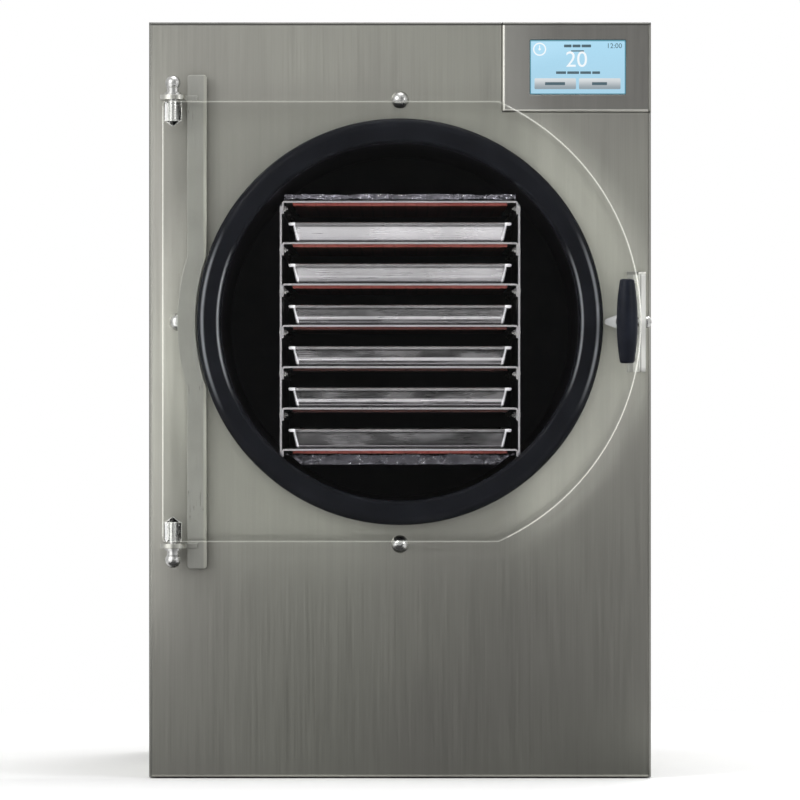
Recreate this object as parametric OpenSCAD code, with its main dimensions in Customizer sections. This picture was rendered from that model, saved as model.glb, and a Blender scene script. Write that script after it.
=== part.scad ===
// Upright freeze dryer: a sheet-steel cabinet round a horizontal vacuum chamber, with a clear swinging door,
// a turn latch, and a rack of heated shelves that carry trays.
// Lengths are in millimetres. X runs to the right of a person who faces the door, Y runs from the door to
// the back, and Z is up. The origin is on the floor, under the middle of the whole machine's box.

/* [Cabinet] */
// Width of the cabinet
cabinet_w = 540; // [530:1:600]
// Depth from the front sheet's face to the back sheet's face
cabinet_d = 643; // [635:1:720]
// Height of the cabinet above its lower edge
cabinet_h = 812; // [800:1:880]
// Thickness of the cabinet's sheets
sheet_t = 1.5; // [1:0.1:2]
// Outside radius of the front sheet's folded edges
bend_r = 3; // [2:0.5:5]
// Depth of the front sheet's folded rim
front_return = 18; // [12:1:24]
// Width of the inward flanges of the side sheets
side_flange = 14; // [10:1:18]
// Gap at the seams between cabinet sheets
seam = 0.4; // [0.2:0.1:0.8]
// Height of the base tray's skirt
skirt_h = 8; // [6:1:14]

/* [Feet] */
// Diameter of a foot pad where it meets the base
foot_d = 44; // [30:1:60]
// Distance from the cabinet's sides to a pad's centre
foot_inset = 58; // [40:1:90]
// How far the pads stand out below the skirt
foot_proud = 1.5; // [1:0.5:4]
// How much narrower a pad is at the floor
foot_taper = 4; // [1:1:8]

/* [Air slots and louvres] */
// Width of an air slot in the side sheets
slot_w = 5; // [3:0.5:6]
// Height of an air slot
slot_len = 84; // [50:1:110]
// Distance from one slot to the next
slot_pitch = 14; // [11:1:16]
// Number of slots in each side sheet
slot_count = 16; // [6:1:18]
// Height of the slots' middle above the cabinet's lower edge
slot_mid_h = 120; // [100:1:150]
// Width of a louvre in the back sheet
louvre_w = 90; // [60:1:110]
// Height of a louvre's mouth, which is how far its hood stands out too
louvre_r = 7; // [5:0.5:8]
// Distance from one louvre to the next
louvre_pitch = 19; // [17:1:24]
// Number of louvres in a column
louvre_rows = 8; // [4:1:9]
// Height of the lowest louvre above the cabinet's lower edge
louvre_low_h = 52; // [40:1:80]

/* [Chamber] */
// Height of the chamber's axis above the cabinet's lower edge
axis_h = 489.5; // [480:0.5:520]
// Inside radius of the chamber
chamber_r = 194; // [193:0.5:196]
// Wall of the chamber
chamber_wall = 3.5; // [3:0.5:5]
// Inside depth of the chamber from its mouth
chamber_depth = 564; // [562:1:580]
// How far the chamber's mouth stands out of the front sheet
nose = 24; // [20:1:26]
// Thickness of the chamber's back plate
back_t = 8; // [6:1:12]
// Thickness of the mounting ring behind the front sheet
ring_t = 5; // [4:1:8]
// Radius of the circle on which the mounting bolts lie
bolt_circle_r = 238.8; // [236:0.2:242]
// Ring left outside the bolt circle
ring_margin = 7; // [5:1:8]
// Diameter of a mounting bolt's shank
bolt_d = 10; // [8:1:12]
// Diameter of a mounting bolt's dome head
bolt_head_d = 19; // [16:1:22]
// Height of a mounting bolt's dome head
bolt_head_h = 7; // [5:0.5:8]

/* [Coil and jacket] */
// Outside diameter of the evaporator's tube
coil_d = 9.5; // [8:0.5:11]
// Number of turns of the evaporator
coil_turns = 9; // [6:1:10]
// Distance from the mounting ring to the first turn and from the last turn to the back plate
coil_end_gap = 30; // [24:1:40]
// Angle each side of the lowest point that the turns leave free, in degrees
coil_free_deg = 9; // [8:0.5:12]
// Thickness of the foam jacket
jacket_t = 25; // [18:1:26]
// Thickness of the foam behind the chamber
jacket_back_t = 28; // [20:1:36]

/* [Gasket] */
// Outside radius of the door gasket
gasket_r = 218; // [216:0.5:219]
// Rubber inside the chamber's mouth
gasket_lip = 2; // [1.5:0.5:3]
// Rounding of the gasket's outer edge
gasket_round = 9; // [5:0.5:10]
// Gap between the gasket and the closed door
gasket_gap = 0.3; // [0.2:0.1:0.5]

/* [Door] */
// Distance from the front sheet to the door
door_gap = 30; // [28:1:34]
// Thickness of the door
door_t = 25.4; // [24:0.1:30]
// Radius of the door's round side, about the chamber's axis
door_r = 258; // [254:0.5:260]
// Half of the door's height between its flat edges
door_half_h = 235.6; // [228:0.2:240]
// Distance from the chamber's axis to the door's straight left edge
door_left = 254; // [252:0.5:256]
// Radius of the door's left corners
door_corner_r = 4; // [2:1:8]

/* [Hinge] */
// Distance from the chamber's axis to the hinge's axis
pin_x = 243; // [242:0.2:243.6]
// Diameter of the hinge pins
pin_d = 10; // [8:0.5:12]
// Outside diameter of the bushes in the door's edges
bush_d = 18.8; // [16:0.2:20]
// Depth of a bush in the door's edge
bush_len = 21; // [18:1:30]
// Length of pin inside a bush
pin_in_door = 16; // [12:1:18]
// Width of the hinge bar
bar_w = 20.4; // [16:0.2:22]
// Thickness of the hinge bar
bar_t = 6; // [4:0.5:8]
// Space between the hinge bar and the front sheet
bar_stand = 10; // [9:0.5:12]
// How far the hinge bar runs on past each ear
bar_past_ear = 22.4; // [14:0.2:25]
// Thickness of an ear
ear_t = 5; // [4:0.5:8]
// Gap between an ear and the door's edge
ear_gap = 2; // [1:0.5:3]
// Width of an ear beyond the hinge's axis
ear_reach = 13.5; // [11:0.5:14]
// Diameter of a ball nut's ball
ball_d = 16.4; // [14:0.2:18]
// Height of a ball nut's centre above its ear
ball_h = 12.6; // [11:0.2:14]
// Diameter of a ball nut's foot
nut_foot_d = 17.4; // [15:0.2:20]

/* [Latch] */
// Distance from the chamber's axis to the latch shaft
latch_x = 241.5; // [240.5:0.1:242]
// Diameter of the latch shaft
shaft_d = 12; // [10:0.5:13]
// Outside diameter of the sleeve in the door
sleeve_d = 16; // [15:0.5:18]
// Length of the barrel grip
grip_len = 90; // [80:1:110]
// Diameter of the grip at its middle
grip_d = 22.6; // [20:0.2:26]
// Diameter of the grip near its ends
grip_end_d = 16; // [14:0.2:19]
// Distance from the door's face to the grip's centre line
grip_stand = 38; // [34:1:50]
// Reach of the cam's nose from the shaft's axis
cam_reach = 22; // [20:0.5:22.5]
// Radius of the cam's round end
cam_r = 9.7; // [9:0.1:10]
// Thickness of the cam
cam_t = 6; // [5:0.5:7]
// Angle through which the grip turns to lock, in degrees
latch_turn_deg = 180; // [170:1:180]

/* [Strike] */
// Height of the strike's two upright plates
strike_len = 108; // [100:1:120]
// Thickness of each of the strike's plates
strike_t = 4; // [3.5:0.1:4.2]
// Distance from the chamber's axis to the strike's outer face
strike_out = 263.8; // [263.4:0.1:264]
// How far the strike's plates stand out of the front sheet
strike_stand = 28; // [27:0.5:28]
// Half height of the window that the cam's nose turns into
strike_window = 26; // [24:1:30]
// Diameter of the bolt that clamps the strike's plates
strike_bolt_d = 8; // [6:0.5:8]

/* [Fascia and screen] */
// Width of the control fascia
fascia_w = 160.3; // [150:0.1:162]
// Height of the control fascia
fascia_h = 96.8; // [90:0.1:98]
// How far the fascia stands out of the front sheet
fascia_proud = 2; // [1:0.5:4]
// Width of the screen's window
screen_w = 104; // [90:1:110]
// Height of the screen's window
screen_h = 59.5; // [50:0.5:64]
// Distance from the cabinet's right side to the window's centre
screen_from_side = 78.7; // [76:0.1:82]
// Distance from the cabinet's top to the window's centre
screen_from_top = 48.4; // [46:0.1:52]
// Depth of the screen's housing
screen_d = 14; // [10:1:20]

/* [Rack] */
// Width over the rack's side plates
rack_w = 258; // [250:0.5:262]
// Thickness of the rack's side plates and shelves
rack_t = 2; // [1.5:0.1:2.5]
// Depth of the rack
rack_d = 530; // [526:1:536]
// Distance from the chamber's mouth to the rack's front edge
rack_set_back = 16; // [14:1:20]
// Number of shelves
shelf_count = 7; // [7:1:7]
// Distance from one shelf to the next
shelf_pitch = 44.4; // [42:0.1:45]
// How far the rack's middle lies below the chamber's axis
rack_drop = 3.3; // [3:0.1:6]
// Height of a shelf's folded ends
shelf_fold = 14; // [10:1:16]
// Thickness of a heater mat
mat_t = 2.5; // [1.5:0.5:3]
// Width of a heater mat
mat_w = 230; // [200:1:240]
// Thickness of the foil blanket on the rack
blanket_top_t = 9; // [6:1:11]
// Thickness of the foil blanket under the rack
blanket_low_t = 14; // [10:1:15]

/* [Trays] */
// Width over a tray's rim
tray_w = 241; // [230:1:246]
// Length over a tray's rim
tray_l = 515; // [500:1:520]
// Height of a tray
tray_h = 21.5; // [16:0.5:22]
// Wall of a tray
tray_t = 1.2; // [0.8:0.1:1.6]
// Width of a tray's rolled rim
tray_rim = 4.4; // [3:0.2:6]
// How much a tray's wall leans in from rim to floor
tray_lean = 4; // [2:0.5:6]
// Radius of a tray's corners at the rim
tray_corner = 13; // [13:1:24]

/* [Cooling plant] */
// Diameter of the compressor's shell
comp_d = 156; // [140:1:160]
// Height of the compressor's shell
comp_h = 172; // [150:1:176]
// Distance of the compressor's axis to the right of the middle
comp_x = 92; // [85:1:95]
// Distance of the compressor's axis behind the front sheet
comp_back = 300; // [280:1:310]
// Length of the condenser along the cabinet
cond_len = 270; // [240:1:300]
// Height of the condenser
cond_h = 196; // [180:1:200]
// Thickness of the condenser
cond_t = 40; // [30:1:44]
// Number of fins
fin_count = 24; // [12:1:28]
// Number of straight tubes through the fins
cond_tubes = 6; // [4:2:6]
// Diameter of the fan's impeller
fan_d = 164; // [150:1:168]
// Number of fan blades
fan_blades = 5; // [3:1:7]
// Diameter of the copper pipes
pipe_d = 8; // [6:0.5:9.5]

/* [Back fittings] */
// Diameter of the vacuum port's nipple, over its outside
port_d = 19; // [16:0.5:22]
// Bore of the vacuum port
port_bore = 11; // [9:0.5:12]
// Length of the vacuum port's nipple
port_len = 18; // [14:1:22]
// Outside diameter of the drain valve's spout
spout_d = 12; // [11:0.5:14]
// Length of the drain valve's spout
spout_len = 20; // [16:1:24]

/* [Hidden] */
$fn = 64;
// Facets of the big rounds and of hulled corners
big_fn = 128;
hull_fn = 24;
// How far a cut runs past a face
cut = 1;
// Running clearance of a pin or shaft in its bush
run_fit = 0.05;
// Gap between round faces that seat in one another
seat_fit = 0.2;
// Finishes
steel = [0.68, 0.67, 0.64];
bright = [0.82, 0.82, 0.80];
rubber = [0.08, 0.08, 0.09];
coated = [0.06, 0.06, 0.07];
copper = [0.72, 0.43, 0.28];
plated = [0.62, 0.62, 0.60];

// Places that many pieces share
grip_front = door_gap + door_t + grip_stand + grip_d / 2;
valve_stand = 24;
valve_reach = valve_stand + 17 + spout_len;
front_y = (grip_front - cabinet_d - valve_reach) / 2;
back_y = front_y + cabinet_d;
low_z = foot_proud;
top_z = low_z + cabinet_h;
side_x = cabinet_w / 2;
inner_x = side_x - sheet_t;
floor_z = low_z + skirt_h + sheet_t;
axis_z = low_z + axis_h;
seam_y = front_y + front_return + seam;
door_back_y = front_y - door_gap;
door_face_y = door_back_y - door_t;
pin_y = (door_back_y + door_face_y) / 2;
mouth_y = front_y - nose;
ring_y = front_y + sheet_t;
ring_r = bolt_circle_r + ring_margin;
chamber_out = chamber_r + chamber_wall;
chamber_back_y = mouth_y + chamber_depth + back_t;
sleeve_over = 0.6;
coil_r = chamber_out + seat_fit + sleeve_over + coil_d / 2;
jacket_in = coil_r + coil_d / 2 + 3;
jacket_out = jacket_in + jacket_t;
jacket_back_y = chamber_back_y + jacket_back_t;
coil_y0 = ring_y + ring_t + coil_end_gap;
coil_pitch = floor(10 * (chamber_back_y - coil_end_gap - coil_y0) / (coil_turns - 1)) / 10;
coil_y1 = coil_y0 + (coil_turns - 1) * coil_pitch;
tail_bend = 14;
tail_x = round(10 * ((coil_r + tail_bend * (1 - sin(coil_free_deg))) * sin(coil_free_deg)
    - tail_bend * pow(cos(coil_free_deg), 2))) / 10;
tail_end_z = axis_z - jacket_out - 8;
tongue_x = inner_x - seam;
screw_d = 4.4;
// Strike
keeper_out = strike_out - strike_t;
keeper_in = keeper_out - strike_t;
strike_base_t = 3;
strike_screw_z = 40;
strike_screw_x = keeper_in - 6.3;
strike_window_y = [front_y - 16.5, front_y - 8.5];
strike_bolt_y = front_y - 22;
cam_y = [front_y - 16, front_y - 16 + cam_t];
// Fascia and screen
fascia_x = side_x - fascia_w;
fascia_z = top_z - fascia_h;
fascia_y = front_y - fascia_proud;
screen_x = side_x - screen_from_side;
screen_z = top_z - screen_from_top;
screen_seat_y = fascia_y + sheet_t;
screen_back_y = screen_seat_y + screen_d;
screen_rim = 6;
window_r = 1.5;
post_h = 8;
board_t = 1.6;
// Back fittings
louvre_x = 128;
fit_z = low_z + 265;
inlet_x = -205;
switch_x = -145;
outlet_x = -85;
inlet_cut = [28, 20];
switch_cut = [28, 23];
vac_d = 22;
port_x = 100;
port_z = axis_z + 60;
vac_joint_y = back_y - 30;
stub_d = 14;
stub_bore = 9;
drain_turn_index = 6;
drain_y = coil_y0 + drain_turn_index * coil_pitch;
drain_joint_z = axis_z - jacket_out - 6;
drain_z = low_z + 150;
valve_y = back_y + valve_stand;
// Cooling plant
cond_x0 = -side_x + 8;
cond_x1 = cond_x0 + cond_t;
cond_y0 = front_y + 150;
cond_y1 = cond_y0 + cond_len;
cond_mid_y = cond_y0 + cond_len / 2;
cond_z0 = floor_z + 9;
cond_z1 = cond_z0 + cond_h;
cond_step = floor(10 * cond_h / cond_tubes) / 10;
cond_tube_x = cond_x0 + cond_t / 2;
cond_end_y = cond_y0 - 6;
pipe_bend = 12;
liquid_z = cond_z0 + cond_step / 2;
cond_top_z = liquid_z + (cond_tubes - 1) * cond_step;
join_z = cond_top_z + pipe_bend + 2;
run_z = join_z + pipe_bend + 1;
fan_z = cond_z0 + cond_h / 2;
fan_x0 = cond_x1 + 8;
fan_t = 22;
motor_x0 = fan_x0 + fan_t + 10;
motor_len = 44;
motor_d = 68;
motor_shaft_d = 8;
comp_y = front_y + comp_back;
comp_low = floor_z + 14;
comp_top = comp_low + comp_h;
comp_stub = 30;
flange_t = 3;
rocker_pin_d = 3;
rocker_y = back_y - 1;
rocker_tilt_deg = 20;
rocker_y_arc = 14;
lever_z = drain_z + 17;
lever_pin_d = 6;
// Hinge and latch
ear_top = door_half_h + ear_gap + ear_t;
bar_half_h = ear_top + bar_past_ear;
pin_in_nut = 7.2;
bar_far_x = pin_x - 15;
drill_point = 0.6;
sleeve_flange_t = 1.5;
grip_y = door_face_y - grip_stand;
// Rack
rack_y0 = mouth_y + rack_set_back;
rack_y1 = rack_y0 + rack_d;
rack_side = rack_w / 2;
rack_low = axis_z - floor(10 * sqrt(chamber_r * chamber_r - rack_side * rack_side)) / 10 + 0.2;
shelf_half_w = rack_side - rack_t;
rack_high = shelf_z(1) - 3.5;
tray_gap = 0.1;

// ---------------------------------------------------------------- shared shapes

// Block between limits on each axis
module span(x, y, z) {
    translate([x[0], y[0], z[0]])
        cube([x[1] - x[0], y[1] - y[0], z[1] - z[0]]);
}

// An outline drawn in X and Z, as thick as the limits on Y
module upright(y) {
    translate([0, y[1], 0])
        rotate([90, 0, 0])
            linear_extrude(y[1] - y[0])
                children();
}

// An outline drawn in Y and Z, as thick as the limits on X
module sideways(x) {
    translate([x[0], 0, 0])
        rotate([90, 0, 90])
            linear_extrude(x[1] - x[0])
                children();
}

// A profile of radius and Y, turned about the chamber's axis
module about_chamber() {
    translate([0, 0, axis_z])
        rotate([-90, 0, 0])
            rotate_extrude($fn = big_fn)
                children();
}

module rod_x(d, x, y, z) {
    translate([x[0], y, z])
        rotate([0, 90, 0])
            cylinder(d = d, h = x[1] - x[0]);
}

module rod_y(d, x, y, z) {
    translate([x, y[0], z])
        rotate([-90, 0, 0])
            cylinder(d = d, h = y[1] - y[0]);
}

module rod_z(d, x, y, z) {
    translate([x, y, z[0]])
        cylinder(d = d, h = z[1] - z[0]);
}

// Rectangle between limits, with all four corners round
module round_rect(x, y, r) {
    translate([x[0] + r, y[0]])
        square([x[1] - x[0] - 2 * r, y[1] - y[0]]);
    translate([x[0], y[0] + r])
        square([x[1] - x[0], y[1] - y[0] - 2 * r]);
    for (cx = [x[0] + r, x[1] - r], cy = [y[0] + r, y[1] - r])
        translate([cx, cy])
            circle(r = r);
}

// Dome of a given height on a round base, standing on z = 0
module dome(d, h) {
    sphere_r = (d * d / 4 + h * h) / (2 * h);
    intersection() {
        translate([0, 0, h - sphere_r])
            sphere(r = sphere_r);
        cylinder(d = d, h = h + cut);
    }
}

// Puts its children at both ends of the hinge: the lower end is the upper one turned over
module both_hinge_ends() {
    translate([0, 0, axis_z])
        children();
    translate([0, 0, axis_z])
        mirror([0, 0, 1])
            children();
}

// Straight pipe between two points
module pipe(a, b, d) {
    v = b - a;
    reach = norm(v);
    translate(a)
        rotate([0, acos(v.z / reach), atan2(v.y, v.x)])
            cylinder(d = d, h = reach);
}

// Pipe that sets off from a point in one direction and curves towards another, square to it
module curve(start, ahead, side, r, d, angle) {
    c = start + r * side;
    n = cross(ahead, side);
    multmatrix([[-side.x, ahead.x, n.x, c.x],
                [-side.y, ahead.y, n.y, c.y],
                [-side.z, ahead.z, n.z, c.z],
                [0, 0, 0, 1]])
        rotate_extrude(angle = angle)
            translate([r, 0])
                circle(d = d);
}

function unit(v) = v / norm(v);

// Pipe along a route whose legs run along the axes, bent at each corner
module pipe_route(route, d, r) {
    last = len(route) - 1;
    for (i = [0 : last - 1]) {
        u = unit(route[i + 1] - route[i]);
        a = i == 0 ? route[i] : route[i] + r * u;
        b = i == last - 1 ? route[i + 1] : route[i + 1] - r * u;
        pipe(a, b, d);
    }
    for (i = [1 : last - 1]) {
        u = unit(route[i] - route[i - 1]);
        v = unit(route[i + 1] - route[i]);
        curve(route[i] - r * u, u, v, r, d, 90);
    }
}

// Box whose walls lean: its rounded corners keep their middles while their radius changes with height
module leaning_box(mid, z, r) {
    h = z[1] - z[0];
    translate([-mid.x, 0, z[0]])
        rotate([90, 0, 90])
            linear_extrude(2 * mid.x)
                polygon([[-mid.y - r[0], 0], [mid.y + r[0], 0], [mid.y + r[1], h], [-mid.y - r[1], h]]);
    translate([0, mid.y, z[0]])
        rotate([90, 0, 0])
            linear_extrude(2 * mid.y)
                polygon([[-mid.x - r[0], 0], [mid.x + r[0], 0], [mid.x + r[1], h], [-mid.x - r[1], h]]);
    for (x = [-mid.x, mid.x], y = [-mid.y, mid.y])
        translate([x, y, z[0]])
            cylinder(r1 = r[0], r2 = r[1], h = h);
}

// Block between limits that is round along its front edges, as the outside of a folded sheet is
module folded_block(x, y, z, r) {
    intersection() {
        translate([0, 0, z[0]])
            linear_extrude(z[1] - z[0])
                difference() {
                    round_rect(x, [y[0], y[1] + 2 * r], r);
                    translate([x[0] - cut, y[1]])
                        square([x[1] - x[0] + 2 * cut, 2 * r + cut]);
                }
        sideways(x)
            difference() {
                round_rect([y[0], y[1] + 2 * r], z, r);
                translate([y[1], z[0] - cut])
                    square([2 * r + cut, z[1] - z[0] + 2 * cut]);
            }
    }
}

// Slot with round ends, upright, drawn in two dimensions
module slot_outline(mid, w, h) {
    translate([mid.x - w / 2, mid.y - h / 2 + w / 2])
        square([w, h - w]);
    for (side = [-1, 1])
        translate([mid.x, mid.y + side * (h / 2 - w / 2)])
            circle(d = w);
}

// ---------------------------------------------------------------- cabinet

// Floor sheet with a skirt all round and a tongue that reaches into the front sheet's fold
module base_tray() {
    color(steel)
        difference() {
            union() {
                span([-side_x, side_x], [seam_y, back_y], [low_z, floor_z]);
                span([-tongue_x, tongue_x], [ring_y, seam_y + cut], [floor_z - sheet_t, floor_z]);
            }
            span([-inner_x, inner_x], [seam_y + sheet_t, back_y - sheet_t],
                [low_z - cut, floor_z - sheet_t]);
        }
}

module feet() {
    color(rubber)
        for (x = [-side_x + foot_inset, side_x - foot_inset])
            for (y = [front_y + foot_inset, back_y - foot_inset])
                translate([x, y, 0])
                    cylinder(d1 = foot_d - foot_taper, d2 = foot_d, h = floor_z - sheet_t);
}

// Front sheet: folded back all round, open for the chamber's mouth, notched for the fascia
module front_panel() {
    color(steel)
        difference() {
            folded_block([-side_x, side_x], [front_y, front_y + front_return], [low_z, top_z], bend_r);
            folded_block([-inner_x, inner_x], [ring_y, front_y + front_return + cut],
                [low_z + sheet_t, top_z - sheet_t], bend_r - sheet_t);
            span([fascia_x - seam, side_x + cut], [front_y - cut, front_y + front_return + cut],
                [fascia_z - seam, top_z + cut]);
            rod_y(2 * (chamber_out + 1), 0, [front_y - cut, ring_y + cut], axis_z);
            at_flange_bolts()
                rod_y(bolt_d + 2 * seat_fit, 0, [front_y - cut, ring_y + cut], 0);
            for (z = [-strike_screw_z, strike_screw_z])
                rod_y(screw_d, strike_screw_x, [front_y - cut, ring_y + cut], axis_z + z);
        }
}

// Side sheet with a flange folded in on all four edges and a row of air slots
module side_sheet() {
    color(steel)
        difference() {
            span([-side_x, -side_x + side_flange], [seam_y, back_y], [floor_z, top_z - sheet_t]);
            span([-inner_x, -side_x + side_flange + cut], [seam_y + sheet_t, back_y - 2 * sheet_t],
                [floor_z + sheet_t, top_z - 2 * sheet_t]);
            span([-inner_x, -side_x + side_flange + cut], [back_y - sheet_t, back_y + cut],
                [floor_z - cut, top_z]);
            sideways([-side_x - cut, -inner_x + cut])
                for (i = [0 : slot_count - 1])
                    slot_outline([cond_mid_y + (i - (slot_count - 1) / 2) * slot_pitch,
                        low_z + slot_mid_h], slot_w, slot_len);
        }
}

module side_panel_left() {
    side_sheet();
}

module side_panel_right() {
    mirror([1, 0, 0])
        side_sheet();
}

// Top sheet with a joggled tongue under the front sheet's fold
module top_cover() {
    color(steel) {
        span([-side_x, side_x], [seam_y, back_y], [top_z - sheet_t, top_z]);
        span([-side_x + side_flange + cut, fascia_x - side_flange],
            [seam_y - front_return / 2, seam_y + front_return], [top_z - 2 * sheet_t, top_z - sheet_t]);
    }
}

// Quarter-round hoods of the louvres, solid or as the space under them
module louvre_forms(r, half_w, y_from) {
    for (x = [-louvre_x, louvre_x])
        for (i = [0 : louvre_rows - 1]) {
            z = low_z + louvre_low_h + i * louvre_pitch;
            intersection() {
                rod_x(2 * r, [x - half_w, x + half_w], back_y, z);
                span([x - half_w, x + half_w], [y_from, back_y + r], [z, z + r]);
            }
        }
}

module rear_panel() {
    color(steel)
        difference() {
            union() {
                span([-inner_x + seam, inner_x - seam], [back_y - sheet_t, back_y],
                    [floor_z, top_z - sheet_t]);
                louvre_forms(louvre_r, louvre_w / 2, back_y - sheet_t);
            }
            louvre_forms(louvre_r - sheet_t, louvre_w / 2 - sheet_t, back_y - sheet_t - cut);
            back_hole(inlet_x, inlet_cut);
            back_hole(outlet_x, inlet_cut);
            back_hole(switch_x, switch_cut);
            rod_y(vac_d + 2 * seam, port_x, [back_y - sheet_t - cut, back_y + cut], port_z);
            rod_y(stub_d + 2 * seam, 0, [back_y - sheet_t - cut, back_y + cut], drain_z);
        }
}

// Square hole in the back sheet for an electrical fitting
module back_hole(x, size) {
    span([x - size.x / 2 - seam, x + size.x / 2 + seam], [back_y - sheet_t - cut, back_y + cut],
        [fit_z - size.y / 2 - seam, fit_z + size.y / 2 + seam]);
}

module control_fascia() {
    color(bright)
        difference() {
            folded_block([fascia_x, side_x], [fascia_y, front_y + front_return], [fascia_z, top_z], bend_r);
            folded_block([fascia_x + sheet_t, inner_x], [fascia_y + sheet_t, front_y + front_return + cut],
                [fascia_z + sheet_t, top_z - sheet_t], bend_r - sheet_t);
            upright([fascia_y - cut, fascia_y + sheet_t + cut])
                screen_outline(0);
        }
}

// Outline of the screen's window, wider all round by a margin
module screen_outline(margin) {
    w = screen_w / 2 + margin;
    h = screen_h / 2 + margin;
    round_rect([screen_x - w, screen_x + w], [screen_z - h, screen_z + h], window_r);
}

// Screen: its glass stands in the window and its housing seats behind the fascia
module touch_screen() {
    color([0.1, 0.1, 0.11]) {
        upright([fascia_y + seam, screen_seat_y + cut])
            screen_outline(-seat_fit);
        difference() {
            upright([screen_seat_y, screen_back_y])
                screen_outline(screen_rim);
            span([screen_x - screen_w / 4, screen_x + screen_w / 4], [screen_back_y - 2, screen_back_y + cut],
                [screen_z - screen_h / 4, screen_z + screen_h / 4]);
        }
    }
}

// Circuit board on four posts behind the screen
module control_board() {
    board_y = screen_back_y + post_h;
    w = screen_w / 2 + screen_rim;
    h = screen_h / 2 + screen_rim;
    color([0.1, 0.3, 0.18])
        span([screen_x - w, screen_x + w], [board_y, board_y + board_t], [screen_z - h, screen_z + h]);
    color(plated)
        for (x = [screen_x - w + 5, screen_x + w - 5], z = [screen_z - h + 5, screen_z + h - 5])
            rod_y(5, x, [screen_back_y, board_y + cut], z);
    color([0.12, 0.12, 0.13]) {
        span([screen_x - 12, screen_x + 12], [board_y + 1, board_y + 5], [screen_z - 12, screen_z + 12]);
        span([screen_x + 24, screen_x + 50], [board_y + 1, board_y + 14], [screen_z - 28, screen_z - 4]);
        span([screen_x - 50, screen_x - 20], [board_y + 1, board_y + 16], [screen_z + 8, screen_z + 26]);
        for (i = [0 : 2])
            rod_y(10, screen_x - 44 + i * 13, [board_y + 1, board_y + 18], screen_z - 20);
    }
}

// ---------------------------------------------------------------- chamber

// Puts its children where the four mounting bolts are
module at_flange_bolts() {
    for (place = [[0, 1], [1, 0], [0, -1], [-1, 0]])
        translate([place.x * bolt_circle_r, 0, axis_z + place.y * bolt_circle_r])
            children();
}

// Round vessel with its back plate, mounting ring, vacuum stub and drain stub
module vacuum_chamber() {
    color(coated)
        difference() {
            union() {
                about_chamber() {
                    translate([chamber_r, mouth_y])
                        square([chamber_wall, chamber_back_y - back_t - mouth_y]);
                    translate([chamber_out - cut, ring_y])
                        square([ring_r - chamber_out + cut, ring_t]);
                }
                rod_z(stub_d, 0, drain_y, [drain_joint_z, axis_z - chamber_r - chamber_wall / 2]);
            }
            rod_z(stub_bore, 0, drain_y, [drain_joint_z - cut, axis_z - chamber_r + cut]);
            at_flange_bolts()
                rod_y(bolt_d + 2 * seat_fit, 0, [ring_y - cut, ring_y + ring_t + cut], 0);
        }
}

// Round plate welded to the drum's end, with the stub that the vacuum port screws into
module chamber_back() {
    color(coated)
        difference() {
            union() {
                rod_y(2 * chamber_out, 0, [chamber_back_y - back_t, chamber_back_y], axis_z);
                rod_y(vac_d, port_x, [chamber_back_y - cut, vac_joint_y], port_z);
            }
            rod_y(port_bore, port_x, [chamber_back_y - back_t - cut, vac_joint_y + cut], port_z);
        }
}

// Foam cup round the chamber and its coil
module chamber_insulation() {
    color([0.78, 0.76, 0.68])
        difference() {
            about_chamber() {
                translate([jacket_in, ring_y + ring_t])
                    square([jacket_t, jacket_back_y - ring_y - ring_t]);
                translate([0, chamber_back_y])
                    square([jacket_in + cut, jacket_back_t]);
            }
            rod_z(stub_d + 2, 0, drain_y, [axis_z - jacket_out - cut, axis_z - jacket_in + cut]);
            at_flange_bolts()
                rod_y(bolt_d * 2.4, 0, [ring_y, ring_y + ring_t + 16], 0);
            rod_y(vac_d + 2, port_x, [chamber_back_y - cut, jacket_back_y + cut], port_z);
            rod_z(coil_d + 4, tail_x, coil_y0, [axis_z - jacket_out - cut, axis_z - jacket_in + 2]);
            rod_z(coil_d + 4, -tail_x, coil_y1, [axis_z - jacket_out - cut, axis_z - jacket_in + 2]);
        }
}

// One tube that runs to and fro round the chamber, with both tails at the bottom
module evaporator_coil() {
    color(copper) {
        for (i = [0 : coil_turns - 1])
            in_coil_plane(coil_y0 + i * coil_pitch) {
                rotate([0, 0, 90 + coil_free_deg])
                    rotate_extrude(angle = 360 - 2 * coil_free_deg)
                        translate([coil_r, 0])
                            circle(d = coil_d);
                for (side = [-1, 1])
                    coil_sleeve(side);
            }
        for (i = [0 : coil_turns - 2])
            coil_bend(coil_y0 + i * coil_pitch, i % 2 == 0 ? 1 : -1);
        coil_tail(coil_y0, -1);
        coil_tail(coil_y1, 1);
    }
}

// Plane of one turn: children see X to the right and the lowest point at 90 degrees
module in_coil_plane(y) {
    translate([0, y, axis_z])
        rotate([-90, 0, 0])
            children();
}

// Brazed sleeve over the end of a turn, on one side of the lowest point
module coil_sleeve(side) {
    rotate([0, 0, 90 + side * coil_free_deg])
        translate([coil_r, 0, 0])
            rotate([90, 0, 0])
                cylinder(d = coil_d + 2 * sleeve_over, h = 8, center = true);
}

// Half turn from the end of one coil to the start of the next
module coil_bend(y, side) {
    in_coil_plane(y)
        rotate([0, 0, 90 + side * coil_free_deg])
            translate([coil_r, 0, coil_pitch / 2])
                rotate([0, 90, 0])
                    rotate([0, 0, side > 0 ? 180 : 0])
                        rotate_extrude(angle = 180)
                            translate([coil_pitch / 2, 0])
                                circle(d = coil_d);
}

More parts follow.
